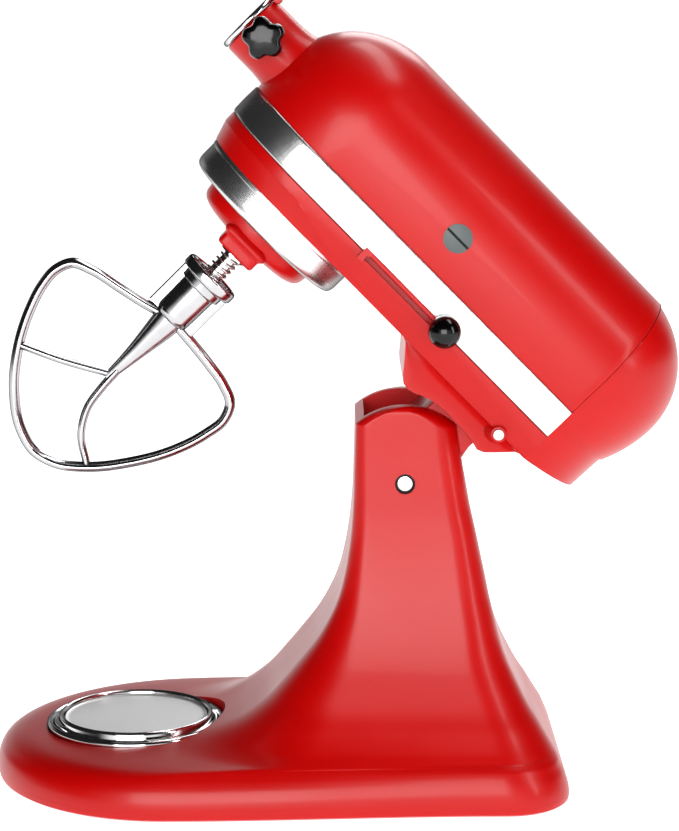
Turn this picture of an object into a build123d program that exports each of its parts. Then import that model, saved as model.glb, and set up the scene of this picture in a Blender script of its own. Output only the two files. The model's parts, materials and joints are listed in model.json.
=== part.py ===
from build123d import *
import math
import os

# Tilt-head stand mixer, millimetres. Row frame: +Z up, +X towards the rear, Y across, feet on z = 0.
# Head parts are drawn with the head level, in a frame whose origin is the middle of the hinge pin,
# and are then turned back by TILT about that pin: the head rests on its stop there.
TILT = 45.4
HINGE_X, HINGE_Z = 42.0, 186.5

# Pedestal
FRONT_CIRCLE_X, FRONT_CIRCLE_R = -97.5, 107.0
REAR_CORNER_X, REAR_CORNER_Y, REAR_CORNER_R = 103.0, 61.0, 38.0
BASE_LOW, BASE_TOP = 2.0, 28.0
BASE_EDGE_R = 17.0
CASTING_WALL = 6.0
COLUMN_TOP_R = 45.0
MOUTH_HALF_WIDTH = 30.6
MOUTH_FRONT_X, MOUTH_SILL_Z = 18.0, 190.0
CHEEK_BOSS_R, CHEEK_BOSS_Y = 15.0, 38.0
# Column sections: height, front x, rear x, half width, corner radius
COLUMN = [
    (236.0, 13.0, 72.0, 41.0, 9.0),
    (200.0, 12.5, 77.0, 42.6, 10.0),
    (160.0, 11.0, 84.0, 46.0, 12.0),
    (130.0, 6.5, 89.5, 51.0, 15.0),
    (105.0, -1.5, 95.5, 57.0, 19.0),
    (80.0, -19.0, 102.0, 65.0, 25.0),
    (60.0, -38.0, 110.0, 73.0, 33.0),
    (42.0, -56.0, 118.0, 80.0, 40.0),
    (26.0, -72.0, 126.0, 85.0, 46.0),
]
FEET = [(-172.0, 0.0), (-92.0, 78.0), (-92.0, -78.0), (106.0, 64.0), (106.0, -64.0)]
FOOT_R, FOOT_H = 9.0, 6.0

# Bowl clamp plate, on the line of the planetary when the head is level
PLATE_X = -121.0
PLATE_R, PLATE_LIP_R, PLATE_LIP_WALL = 54.0, 46.5, 3.2
PLATE_RIM_Z, PLATE_LIP_Z, PLATE_DISC_Z = 32.5, 36.5, 33.5
PLATE_SCREW_R = 30.0

# Head, in the level frame
HEAD_R = 60.0
FRONT_X, REAR_X = -163.0, 25.2
SEAM_X = 35.0
CASING_LOW, CASING_TOP = 61.0, 79.4
SPLIT_Z, HOUSING_LOW = 89.4, 99.3
REBATE = 2.0
WIDEST_Z, HEAD_TOP = 123.0, 179.3
HEAD_WALL, FLOOR = 5.5, 5.0
NECK_HALF_WIDTH, NECK_CUT_HALF_WIDTH = 48.0, 44.5
NECK_CLEAR_R = 46.0
LUG_HALF_WIDTH = 30.0
PIN_R, PIN_HALF = 4.75, 42.6
SET_SCREW_Y = 34.5
RUNNING = 0.05

# Attachment hub
HUB_Z, HUB_R, HUB_FRONT = 122.3, 19.6, -251.5
SLEEVE_R, HUB_BORE_R, HUB_BORE_LENGTH = 17.0, 12.8, 29.0
SLEEVE_REAR = -208.0
KNOB_X = -240.0
KNOB_R, KNOB_NEAR, KNOB_FAR = 12.6, -26.0, -41.0
COVER_PIN_X, COVER_PIN_Z = -251.0, 143.2

# Drive train
PLANET_X = -163.0
RING_TEETH, PINION_TEETH = 63, 24
ORBIT_R = 28.0
ORBIT_ANGLE = -93.0
RING_TIP_R, PINION_TIP_R = 46.2, 17.5
GEAR_LOW, GEAR_HIGH = 46.0, 56.0
CENTRE_TEETH, WORM_PINION_TEETH = 48, 18
CENTRE_GEAR_R, WORM_PINION_R = 39.0, 14.6
CENTRE_SHAFT_R = 6.0
WORM_WHEEL_X, WORM_WHEEL_Y = -118.0, 30.0
WORM_WHEEL_R, WORM_R = 23.0, 6.5
WHEEL_SHAFT_R = 4.0
AGITATOR_R = 4.75
DRIP_RING_R = 55.5
PLANETARY_R = 39.4

# Motor
STATOR_R, ARMATURE_R = 46.0, 24.0
STATOR_FRONT, STATOR_REAR = -64.0, -12.0
BRUSH_X = -83.0
MOTOR_SHAFT_R = 4.0

# Beater, measured down from the hinge level along its own shaft
COLLAR_TOP, COLLAR_LOW, COLLAR_R = 5.7, -0.8, 17.8
BARREL_R, BARREL_LOW = 11.6, -31.0
SPINE_LOW = -80.0
LOOP_WIDTH, LOOP_DEPTH = 5.6, 9.0

# Speed lever and head lock
SLOT_FRONT, SLOT_REAR = -112.0, -45.0
SLOT_LOW, SLOT_HIGH = 76.0, 79.2
LEVER_X, LEVER_KNOB_Z = -51.5, 80.5
LOCK_X, LOCK_Z = 14.0, 60.5
GLAND_X, GLAND_Y = 58.0, 24.0

HEAD = Pos(HINGE_X, 0, HINGE_Z) * Rot(0, TILT, 0)
os.makedirs("parts", exist_ok=True)


def save(name, shape):
    """Writes one sub-part to its own file."""
    export_step(Compound(shape.solids()) if len(shape.solids()) > 1 else shape.solids()[0], f"parts/{name}.step")


def save_head(name, shape):
    """Writes a sub-part that was drawn in the level head frame."""
    save(name, HEAD * shape)


def box(x0, x1, y0, y1, z0, z1):
    """A box between two corners."""
    return Pos((x0 + x1) / 2, (y0 + y1) / 2, (z0 + z1) / 2) * Box(x1 - x0, y1 - y0, z1 - z0)


def rod_z(x, y, z0, z1, radius):
    """A cylinder along Z."""
    return Pos(x, y, (z0 + z1) / 2) * Cylinder(radius, z1 - z0)


def rod_y(x, z, y0, y1, radius):
    """A cylinder along Y."""
    return Pos(x, (y0 + y1) / 2, z) * Rot(90, 0, 0) * Cylinder(radius, y1 - y0)


def rod_x(y, z, x0, x1, radius):
    """A cylinder along X."""
    return Pos((x0 + x1) / 2, y, z) * Rot(0, 90, 0) * Cylinder(radius, x1 - x0)


def side_plate(points, half_width):
    """A side outline, given as X and Z, carried across Y."""
    face = make_face(Polyline(*points, close=True))
    return extrude(Plane.XZ * face, half_width, both=True)


def gear(teeth, tip_r, depth, thickness):
    """A spur gear blank with straight flanks, standing on z = 0."""
    pitch = 2 * math.pi * tip_r / teeth
    tooth = Pos(tip_r - depth / 2, 0) * Trapezoid(pitch * 0.6, depth + 1.0, 81, rotation=-90)
    outline = Circle(tip_r - depth) + [place * tooth for place in PolarLocations(0, teeth)]
    outline = outline & Circle(tip_r)
    return extrude(outline, thickness)


def tube_z(x, y, z0, z1, outer, inner):
    """A ring standing on the Z axis."""
    return rod_z(x, y, z0, z1, outer) - rod_z(x, y, z0 - 1, z1 + 1, inner)


# ---------------------------------------------------------------- pedestal


def footprint(inset):
    """Plan outline of the base: a large front circle drawn back to two rear corners."""
    circles = [
        Pos(FRONT_CIRCLE_X, 0) * Circle(FRONT_CIRCLE_R - inset),
        Pos(REAR_CORNER_X, REAR_CORNER_Y) * Circle(REAR_CORNER_R - inset),
        Pos(REAR_CORNER_X, -REAR_CORNER_Y) * Circle(REAR_CORNER_R - inset),
    ]
    return make_hull([edge for circle in circles for edge in circle.edges()])


def column(inset, ruled):
    """The column, lofted through rounded rectangles that flare downwards."""
    sections = []
    for z, front, rear, half, corner in COLUMN:
        length, width = rear - front - 2 * inset, 2 * (half - inset)
        outline = RectangleRounded(length, width, corner - inset)
        sections.append(Pos((front + rear) / 2, 0, z) * outline)
    return loft(sections, ruled=ruled)


def below_crown(radius):
    """Everything under the round top of the column."""
    return rod_y(HINGE_X, HINGE_Z, -60, 60, radius) + box(-100, 150, -100, 100, 0, HINGE_Z)


def pedestal():
    base = extrude(Pos(0, 0, BASE_LOW) * footprint(0), BASE_TOP - BASE_LOW)
    base = fillet(base.faces().sort_by(Axis.Z)[-1].edges(), BASE_EDGE_R)
    base = fillet(base.faces().sort_by(Axis.Z)[0].edges(), 2.5)
    body = base + (column(0, False) & below_crown(COLUMN_TOP_R))
    body -= extrude(Pos(0, 0, BASE_LOW - 1) * footprint(CASTING_WALL + 6), BASE_TOP - BASE_LOW - CASTING_WALL + 1)
    body -= column(CASTING_WALL, True) & below_crown(COLUMN_TOP_R - CASTING_WALL)
    body -= box(-50, 100, -70, 70, BASE_TOP - 8, 32)
    body -= rod_z(PLATE_X, 0, BASE_TOP, 60, PLATE_R + 0.3)
    for side in (-1, 1):
        body += rod_y(HINGE_X, HINGE_Z, *sorted((side * MOUTH_HALF_WIDTH, side * CHEEK_BOSS_Y)), CHEEK_BOSS_R)
    body -= box(MOUTH_FRONT_X, 120, -MOUTH_HALF_WIDTH, MOUTH_HALF_WIDTH, MOUTH_SILL_Z, 260)
    for x, y in FEET:
        body += rod_z(x, y, BASE_LOW, BASE_TOP - 5, FOOT_R + 3)
        body -= rod_z(x, y, 0, FOOT_H - 1.0, FOOT_R + 0.2)
    for angle in (45, 135, 225, 315):
        x = PLATE_X + PLATE_SCREW_R * math.cos(math.radians(angle))
        y = PLATE_SCREW_R * math.sin(math.radians(angle))
        body += rod_z(x, y, 10, BASE_TOP - 1, 6)
        body -= rod_z(x, y, 14, BASE_TOP + 1, 2.6)
    body += box(MOUTH_FRONT_X - 3, 29.5, -7, 7, HINGE_Z - 3, HINGE_Z + 13)
    body -= rod_z(25, 0, HINGE_Z, HINGE_Z + 20, 3.05)
    body -= rod_y(HINGE_X, HINGE_Z, -70, 70, PIN_R + RUNNING)
    body -= rod_z(HINGE_X, SET_SCREW_Y, HINGE_Z - 20, HINGE_Z, 2.05)
    save("pedestal", body)


def base_fittings():
    save("rubber_feet", Compound([rod_z(x, y, 0, FOOT_H - 1.0, FOOT_R) for x, y in FEET]))
    pin = rod_y(HINGE_X, HINGE_Z, -PIN_HALF, PIN_HALF, PIN_R)
    pin = chamfer(pin.edges().filter_by(GeomType.CIRCLE), 0.8)
    save("hinge_pin", pin)
    grub = rod_z(HINGE_X, SET_SCREW_Y, HINGE_Z - 16.5, HINGE_Z - PIN_R - 0.05, 2.0)
    grub -= box(HINGE_X - 3, HINGE_X + 3, SET_SCREW_Y - 0.5, SET_SCREW_Y + 0.5, 160, HINGE_Z - 15.0)
    save("hinge_set_screw", grub)
    screw = rod_z(25, 0, HINGE_Z + 2, HINGE_Z + 21.5, 3.0) - box(21, 29, -0.6, 0.6, HINGE_Z + 20, HINGE_Z + 22)
    save("head_height_screw", screw)


def bowl_plate():
    """Clamp plate with an outer rim, a groove for the bowl's lugs and a raised inner lip."""
    lip_inner = PLATE_LIP_R - PLATE_LIP_WALL
    plate = tube_z(0, 0, BASE_TOP, PLATE_RIM_Z, PLATE_R, PLATE_R - 3.0)
    plate += rod_z(0, 0, BASE_TOP, BASE_TOP + 2.5, PLATE_R - 1)
    plate += tube_z(0, 0, BASE_TOP, PLATE_LIP_Z, PLATE_LIP_R, lip_inner)
    rims = plate.edges().filter_by(GeomType.CIRCLE).filter_by(lambda e: e.center().Z > PLATE_RIM_Z - 0.1)
    plate = fillet(rims, 1.1)
    for angle in range(20, 380, 90):
        lug = box(PLATE_LIP_R - 1, PLATE_LIP_R + 2.2, -6, 6, PLATE_RIM_Z - 1.2, PLATE_RIM_Z + 1.0)
        plate += Rot(0, 0, angle) * lug
    screws = []
    for angle in (45, 135, 225, 315):
        x = PLATE_SCREW_R * math.cos(math.radians(angle))
        y = PLATE_SCREW_R * math.sin(math.radians(angle))
        plate -= rod_z(x, y, BASE_TOP - 1, BASE_TOP + 4, 2.7)
        screws.append(rod_z(x, y, 15, BASE_TOP + 2.6, 2.5) + rod_z(x, y, BASE_TOP + 2.5, BASE_TOP + 4.5, 4.5))
    disc = rod_z(0, 0, BASE_TOP + 4.6, PLATE_DISC_Z, lip_inner - 0.1)
    place = Pos(PLATE_X, 0, 0)
    save("bowl_clamp_plate", place * plate)
    save("clamp_plate_screws", place * Compound(screws))
    save("clamp_plate_disc", place * disc)


# ---------------------------------------------------------------- head castings


def stadium(radius, low, high):
    """Vertical wall with a round front and rear, cut level at both ends."""
    ends = rod_z(FRONT_X, 0, low, high, radius) + rod_z(REAR_X, 0, low, high, radius)
    return ends + box(FRONT_X, REAR_X, -radius, radius, low, high)


def capsule(inset, low):
    """Head shape: upright sides, an elliptical roof, and the same profile turned about each end."""
    radius, roof = HEAD_R - inset, HEAD_TOP - WIDEST_Z - min(inset, 4.0)
    arch = EllipticalCenterArc((0, WIDEST_Z), radius, roof, start_angle=0, arc_size=180)
    section = make_face([arch, Polyline(arch @ 1, (-radius, low), (radius, low), arch @ 0)])
    bend = EllipticalCenterArc((0, WIDEST_Z), radius, roof, start_angle=0, arc_size=90)
    half = make_face([bend, Polyline(bend @ 1, (0, low), (radius, low), bend @ 0)])
    barrel = Pos(FRONT_X, 0, 0) * extrude(Plane.YZ * section, REAR_X - FRONT_X)
    nose = revolve(Plane.YZ * half, Axis.Z, 180)
    return barrel + Pos(FRONT_X, 0, 0) * nose + Pos(REAR_X, 0, 0) * Rot(0, 0, 180) * nose


def motor_housing():
    outer = capsule(0, HOUSING_LOW) + stadium(HEAD_R - REBATE, SPLIT_Z, HOUSING_LOW + 1)
    shell = outer - capsule(HEAD_WALL, SPLIT_Z - 1)
    shell &= box(-300, SEAM_X, -80, 80, 0, 300)
    shell += rod_x(0, HUB_Z, HUB_FRONT, FRONT_X - HEAD_R + 9, HUB_R)
    shell += box(-227.5, -214, -25.6, -10, HUB_Z - 5, HUB_Z + 6)
    shell += rod_y(KNOB_X, HUB_Z, -24.5, -15, 7)
    for side in (-1, 1):
        near, far = sorted((side * 6.2, side * 11.5))
        shell += rod_y(COVER_PIN_X, COVER_PIN_Z, near, far, 2.0)
        shell += box(COVER_PIN_X - 0.3, COVER_PIN_X + 6, near, far, HUB_Z + 14, COVER_PIN_Z)
    shell -= rod_x(0, HUB_Z, HUB_FRONT - 6, HUB_FRONT, HUB_R + 0.6)
    shell -= rod_y(COVER_PIN_X, COVER_PIN_Z, -20, 20, 1.2)
    shell -= rod_y(COVER_PIN_X, COVER_PIN_Z, -6.2, 6.2, 2.8)
    shell -= rod_x(0, HUB_Z, HUB_FRONT - 5, FRONT_X - HEAD_R + 25, SLEEVE_R + 0.05)
    shell -= rod_y(KNOB_X, HUB_Z, -40, 0, 3.1)
    shell -= rod_y(BRUSH_X, HUB_Z, -70, 70, 8.5)
    save_head("motor_housing", shell)


def rear_cover():
    """Domed end cover whose lower part draws in and runs down into a tail."""
    curve = Spline((86.0, 124.0), (83.3, 106.0), (79.0, 93.5), (76.6, 80.0), (76.4, 66.5))
    outline = make_face([curve, Polyline(curve @ 1, (SEAM_X, CASING_LOW), (SEAM_X, 190), (90, 190), curve @ 0)])
    cover = capsule(0, CASING_LOW) & extrude(Plane.XZ * outline, 80, both=True)
    inner = capsule(HEAD_WALL, CASING_LOW + FLOOR) & box(SEAM_X - 1, 71, -80, 80, 0, 300)
    cover -= inner
    cover += rod_x(0, HUB_Z, 60, 80, 8)
    cover -= rod_x(0, HUB_Z, 50, 90, 2.2)
    cover -= rod_x(0, HUB_Z, 82, 90, 5.2)
    cover -= rod_z(GLAND_X, GLAND_Y, 55, 75, 6.1)
    save_head("rear_cover", cover)
    screw = rod_x(0, HUB_Z, 55, 82.1, 2.1) + rod_x(0, HUB_Z, 82, 84.4, 4.8)
    save_head("rear_cover_screw", screw - box(83.2, 86, -6, 6, HUB_Z - 0.7, HUB_Z + 0.7))
    save_head("cord_gland", tube_z(GLAND_X, GLAND_Y, CASING_LOW, 68.5, 6.0, 3.4))


def lower_casing():
    body = stadium(HEAD_R, CASING_LOW, CASING_TOP) + stadium(HEAD_R - REBATE, CASING_TOP - 1, SPLIT_Z)
    body -= stadium(HEAD_R - HEAD_WALL, CASING_LOW + FLOOR, SPLIT_Z + 1)
    neck_outline = [(-66, 63), (-63, 60.5), (-40.5, 39.1), (-28, 44.5), (-16, 46.8), (-4, 46.6), (6, 44.8)]
    neck_outline += [(12.5, 42.4), (33, CASING_LOW), (33, 64), (-60, 66)]
    neck = side_plate(neck_outline, NECK_HALF_WIDTH)
    neck -= rod_y(0, 0, -NECK_CUT_HALF_WIDTH, NECK_CUT_HALF_WIDTH, NECK_CLEAR_R)
    body += neck
    body -= side_plate([(-55, 67), (-41, 53), (3, 53.5), (20, 62), (20, 67)], 40)
    lug_outline = [(-21, 53.5), (-21.5, 23.5), (-12, 22.5), (-10.5, 3), (0, -2), (10.5, 3)]
    lug_outline += [(15.1, 31.8), (12.8, 40.2), (12.8, 52)]
    body += side_plate(lug_outline, LUG_HALF_WIDTH)
    body += rod_y(0, 0, -LUG_HALF_WIDTH, LUG_HALF_WIDTH, 11)
    body -= rod_y(0, 0, -60, 60, PIN_R + RUNNING)
    body &= box(-300, SEAM_X, -80, 80, -50, 200)
    body -= rod_z(PLANET_X, 0, 50, 70, 9.0)
    body += tube_z(WORM_WHEEL_X, WORM_WHEEL_Y, CASING_LOW, 82, 7.5, WHEEL_SHAFT_R + RUNNING)
    body -= rod_z(WORM_WHEEL_X, WORM_WHEEL_Y, CASING_LOW + 2, 90, WHEEL_SHAFT_R + RUNNING)
    body -= box(SLOT_FRONT, SLOT_REAR, -80, -50, SLOT_LOW, SLOT_HIGH)
    for side in (-1, 1):
        low, high = sorted((side * 40, side * 61.5))
        body += rod_y(LOCK_X, LOCK_Z, low, high, 6.2)
        body -= rod_z(-92, side * 47, 50, 70, 2.2)
        body -= rod_z(-92, side * 47, 50, CASING_LOW + 2.5, 4.2)
    body -= rod_y(LOCK_X, LOCK_Z, -80, 80, 3.05)
    save_head("lower_casing", body)


def head_trim():
    band = stadium(HEAD_R + 0.8, CASING_TOP + 0.1, HOUSING_LOW - 0.1)
    band -= stadium(HEAD_R - REBATE + 0.2, CASING_TOP - 5, HOUSING_LOW + 5)
    save_head("trim_band", band & box(-300, SEAM_X - 0.2, -80, 80, 0, 200))
    guard = box(SLOT_FRONT, SLOT_REAR - 8, -64.2, -HEAD_R - 0.9, CASING_TOP + 0.3, CASING_TOP + 3.0)
    guard = fillet(guard.edges().filter_by(Axis.X).sort_by(Axis.Y)[:2], 1.0)
    guard += box(SLOT_FRONT - 4, SLOT_FRONT - 0.4, -64.2, -HEAD_R - 0.05, CASING_TOP - 5.0, CASING_TOP - 0.1)
    guard += box(SLOT_FRONT - 4, SLOT_FRONT + 1, -64.2, -HEAD_R - 0.9, CASING_TOP - 0.2, CASING_TOP + 3.0)
    save_head("lever_guard", guard)
    ring = tube_z(PLANET_X, 0, 43.0, CASING_LOW - 0.1, DRIP_RING_R, DRIP_RING_R - 1.6)
    floor = tube_z(PLANET_X, 0, 43.0, 44.4, DRIP_RING_R - 1, PLANETARY_R + 1.6)
    ring += floor
    corner = ring.edges().filter_by(GeomType.CIRCLE).filter_by(lambda e: e.center().Z < 43.1 and e.radius > 50)
    save_head("drip_ring", fillet(corner, 3.2))
    save_head("internal_ring_gear", ring_gear())
    screws = []
    for side in (-1, 1):
        screws.append(rod_z(-92, side * 47, CASING_LOW + 0.3, CASING_LOW + 2.4, 4.0))
        screws.append(rod_z(-92, side * 47, CASING_LOW + 2.4, 72, 2.1))
    paired = [screws[0] + screws[1], screws[2] + screws[3]]
    save_head("casing_screws", Compound(paired))


def ring_gear():
    """Internal gear, fixed under the casing floor, that the agitator pinion rolls in."""
    bore = gear(RING_TEETH, RING_TIP_R + 3.0, 3.0, GEAR_HIGH - GEAR_LOW + 2)
    ring = rod_z(0, 0, GEAR_LOW, CASING_LOW - 0.1, DRIP_RING_R - 2.0)
    ring -= Pos(0, 0, GEAR_LOW - 1) * bore
    ring -= rod_z(0, 0, GEAR_HIGH - 1, CASING_LOW + 1, RING_TIP_R)
    return Pos(PLANET_X, 0, 0) * ring


# ---------------------------------------------------------------- attachment hub


def attachment_hub():
    sleeve = rod_x(0, HUB_Z, HUB_FRONT + 0.2, SLEEVE_REAR, SLEEVE_R)
    sleeve -= rod_x(0, HUB_Z, HUB_FRONT - 1, HUB_FRONT + HUB_BORE_LENGTH, HUB_BORE_R)
    sleeve -= rod_x(0, HUB_Z, HUB_FRONT - 1, SLEEVE_REAR + 1, 8.0 + RUNNING)
    sleeve -= rod_y(KNOB_X, HUB_Z, -40, 0, 3.1)
    save_head("hub_sleeve", sleeve)
    drive = rod_x(0, HUB_Z, HUB_FRONT + HUB_BORE_LENGTH + 1, -196, 8.0)
    drive -= box(HUB_FRONT, -206, -4.1, 4.1, HUB_Z - 4.1, HUB_Z + 4.1)
    wheel = Pos(-200, 0, HUB_Z) * Rot(0, 90, 0) * gear(26, 22.0, 2.6, 6.0)
    save_head("hub_drive_gear", drive + wheel)
    stud = rod_y(KNOB_X, HUB_Z, KNOB_NEAR - 6, -13.0, 3.0)
    save_head("hub_knob_stud", stud)
    knob = extrude(lobed_outline(), KNOB_NEAR - KNOB_FAR)
    knob = Pos(KNOB_X, KNOB_NEAR, HUB_Z) * Rot(90, 0, 0) * knob
    knob -= rod_y(KNOB_X, HUB_Z, KNOB_NEAR - 6.1, 0, 3.0)
    save_head("hub_knob", knob)
    cover = rod_x(0, HUB_Z, HUB_FRONT - 3.6, HUB_FRONT - 0.3, HUB_R + 0.2)
    cover = fillet(cover.edges().filter_by(GeomType.CIRCLE).sort_by(Axis.X)[0], 1.0)
    cover += box(HUB_FRONT - 3.2, HUB_FRONT - 0.6, -5, 5, HUB_Z + 15, COVER_PIN_Z)
    cover += rod_y(COVER_PIN_X, COVER_PIN_Z, -5.6, 5.6, 2.4)
    save_head("hub_cover", cover - rod_y(COVER_PIN_X, COVER_PIN_Z, -20, 20, 1.2 + RUNNING))
    save_head("hub_cover_pin", rod_y(COVER_PIN_X, COVER_PIN_Z, -11.5, 11.5, 1.2))


def lobed_outline():
    """Five lobes with scooped sides, for a thumb grip."""
    outline = Circle(KNOB_R)
    for angle in range(36, 396, 72):
        outline -= Rot(0, 0, angle) * Pos(KNOB_R + 6.4, 0) * Circle(8.6)
    return fillet(outline.vertices(), 1.0)


# ---------------------------------------------------------------- drive train


def orbit_point():
    """Axis of the agitator shaft, in the level head frame."""
    turn = math.radians(ORBIT_ANGLE)
    return PLANET_X + ORBIT_R * math.cos(turn), ORBIT_R * math.sin(turn)


def planetary():
    ax, ay = orbit_point()
    carrier = Pos(PLANET_X, 0, 37.0) * Cylinder(PLANETARY_R, 15.0)
    carrier = fillet(carrier.edges().filter_by(GeomType.CIRCLE).sort_by(Axis.Z)[0], 8.0)
    carrier += rod_z(PLANET_X, 0, 40, 57, 9.0)
    block = box(ax - 13, ax + 13, ay - 11.5, ay + 16, 22.5, 36)
    block = fillet(block.edges().filter_by(Axis.Z), 3.0)
    carrier += block
    carrier -= rod_z(ax, ay, 10, 60, AGITATOR_R + RUNNING)
    carrier -= rod_z(PLANET_X, 0, 34, 60, CENTRE_SHAFT_R)
    save_head("planetary_carrier", carrier)
    save_head("centre_shaft", rod_z(PLANET_X, 0, 34, 112, CENTRE_SHAFT_R))
    wheel = Pos(0, 0, 84) * gear(CENTRE_TEETH, CENTRE_GEAR_R, 2.8, 8.0)
    crown = tube_z(0, 0, 91.9, 99.6, CENTRE_GEAR_R - 3, 27.0)
    slots = [place * Box(40, 1.9, 4.0) for place in PolarLocations(32, CENTRE_TEETH)]
    crown -= Pos(0, 0, 99.0) * Compound(slots)
    bevel = wheel + crown + rod_z(0, 0, 80, 101, 12) - rod_z(0, 0, 70, 110, CENTRE_SHAFT_R)
    save_head("centre_bevel_gear", Pos(PLANET_X, 0, 0) * bevel)
    bush = tube_z(PLANET_X, 0, 58.5, 70, 8.95, CENTRE_SHAFT_R + RUNNING)
    save_head("centre_shaft_bush", bush)


def agitator():
    ax, ay = orbit_point()
    shaft = rod_z(ax, ay, -22, GEAR_HIGH + 0.5, AGITATOR_R)
    save_head("agitator_shaft", shaft - rod_y(ax, -12, ay - 20, ay + 20, 2.0))
    save_head("drive_pin", rod_y(ax, -12, ay - 9.5, ay + 9.5, 2.0))
    pinion = Pos(ax, ay, GEAR_LOW + 0.3) * gear(PINION_TEETH, PINION_TIP_R, 3.0, 9.0)
    save_head("agitator_pinion", pinion - rod_z(ax, ay, 30, 60, AGITATOR_R))
    washer = tube_z(ax, ay, 21.0, 22.2, 8.5, AGITATOR_R)
    save_head("spring_washer", washer)
    helix = Helix(pitch=3.4, height=17.0, radius=5.8)
    wire = sweep(Plane(origin=helix @ 0, z_dir=helix % 0) * Circle(0.65), path=helix, is_frenet=True)
    save_head("beater_spring", Pos(ax, ay, 3.2) * wire)


def beater_loop():
    """Bar that follows the bowl: two shoulders, a long left side and a low point under the shaft."""
    left = [(-7, -30.3), (-37.2, -39.2), (-58.6, -45.6), (-66.9, -53.6), (-66.2, -66), (-54.4, -94.8)]
    low = [(-34.8, -123.2), (-12.6, -139.6), (6.2, -142.8), (26, -129.6), (48.6, -98.2)]
    right = [(61.4, -67.2), (64, -52.8), (58.6, -41), (46.8, -35.7), (24.6, -32.3), (7, -30.3)]
    return trace(Spline(*left, *low, *right), LOOP_WIDTH)


def bar(sketch):
    """One flat bar of the beater's frame, from its side outline."""
    return extrude(Plane.XZ * sketch, LOOP_DEPTH / 2, both=True)


def flat_beater():
    ax, ay = orbit_point()
    frame = bar(beater_loop())
    frame += bar(trace(Spline((-50, -108), (-26, -95), (1.5, -80)), 4.4))
    frame += bar(trace(Spline((0, -76), (2.5, -101), (13, -117), (26, -129)), 4.4))
    spine = Pos(0, 0, (BARREL_LOW + SPINE_LOW) / 2) * Cone(3.2, 9.6, BARREL_LOW - SPINE_LOW)
    barrel = rod_z(0, 0, BARREL_LOW, COLLAR_LOW, BARREL_R) + rod_z(0, 0, -6, COLLAR_LOW, 13.6)
    collar = rod_z(0, 0, COLLAR_LOW, COLLAR_TOP, COLLAR_R)
    webs = box(-16.6, 16.6, -2.6, 2.6, -29, COLLAR_LOW)
    whole = frame + spine + barrel + collar + webs
    whole -= rod_z(0, 0, COLLAR_LOW + 2.0, 10, COLLAR_R - 2.2)
    whole -= rod_z(0, 0, -28, 10, AGITATOR_R + 0.15)
    whole -= rod_z(0, 0, -19.5, -7.5, 9.9)
    whole -= box(-2.3, 2.3, -9.6, 9.6, -12, 10)
    save_head("flat_beater", Pos(ax, ay, 0) * whole)


def worm_shaft():
    wheel = Pos(WORM_WHEEL_X, WORM_WHEEL_Y, HUB_Z - 6) * gear(36, WORM_WHEEL_R, 2.4, 12.0)
    wheel += rod_z(WORM_WHEEL_X, WORM_WHEEL_Y, HUB_Z - 12, HUB_Z + 8, 9)
    wheel -= rod_z(WORM_WHEEL_X, WORM_WHEEL_Y, 60, 160, WHEEL_SHAFT_R)
    save_head("worm_wheel", wheel)
    pinion = Pos(WORM_WHEEL_X, WORM_WHEEL_Y, 83.2) * gear(WORM_PINION_TEETH, WORM_PINION_R, 2.8, 9.0)
    pinion += rod_z(WORM_WHEEL_X, WORM_WHEEL_Y, 64, 140, WHEEL_SHAFT_R)
    save_head("worm_wheel_pinion", pinion)


def gear_bracket():
    """Plate across the front of the motor that carries the worm's nose and both upright shafts."""
    plate = box(-148, -143.5, -46, 46, 104, 170) & capsule(HEAD_WALL + 0.3, 90)
    plate += box(-176, -144, -11, 11, 104, 110)
    plate += box(-144, -108, 22, 38, HUB_Z + 10, HUB_Z + 15)
    plate -= rod_z(PLANET_X, 0, 100, 120, CENTRE_SHAFT_R + RUNNING)
    plate -= rod_z(WORM_WHEEL_X, WORM_WHEEL_Y, 120, 150, WHEEL_SHAFT_R + RUNNING)
    plate -= rod_x(0, HUB_Z, -150, -140, 6.6)
    save_head("gear_bracket", plate)
    nose = rod_x(0, HUB_Z, -147.5, -143.7, 6.5) - rod_x(0, HUB_Z, -150, -140, MOTOR_SHAFT_R + RUNNING)
    save_head("worm_nose_bearing", nose)


# ---------------------------------------------------------------- motor


def armature():
    shaft = rod_x(0, HUB_Z, -148, 24, MOTOR_SHAFT_R)
    shaft += rod_x(0, HUB_Z, -138, -98, WORM_R - 1.6)
    threads = [rod_x(0, HUB_Z, x, x + 1.8, WORM_R - 0.1) for x in range(-136, -100, 4)]
    for thread in threads:
        shaft += thread
    save_head("armature_shaft", shaft)
    core = rod_x(0, HUB_Z, STATOR_FRONT + 2, STATOR_REAR - 2, ARMATURE_R)
    for turn in range(0, 360, 30):
        slot = box(STATOR_FRONT, STATOR_REAR, -1.3, 1.3, ARMATURE_R - 6, ARMATURE_R + 2)
        core -= Pos(0, 0, HUB_Z) * Rot(turn, 0, 0) * slot
    save_head("armature_core", core - rod_x(0, HUB_Z, -80, 0, MOTOR_SHAFT_R))
    commutator = rod_x(0, HUB_Z, -92, -74, 14.0) - rod_x(0, HUB_Z, -100, -60, MOTOR_SHAFT_R)
    for turn in range(0, 360, 30):
        commutator -= Pos(0, 0, HUB_Z) * Rot(turn + 15, 0, 0) * box(-93, -73, -0.4, 0.4, 12.8, 16)
    save_head("commutator", commutator)
    fan = rod_x(0, HUB_Z, 0, 2.2, 31)
    for turn in range(0, 360, 36):
        fan += Pos(0, 0, HUB_Z) * Rot(turn, 0, 0) * box(2.0, 9.0, -0.8, 0.8, 10, 30)
    fan += rod_x(0, HUB_Z, 0, 9, 9)
    save_head("cooling_fan", fan - rod_x(0, HUB_Z, -10, 30, MOTOR_SHAFT_R))


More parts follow.
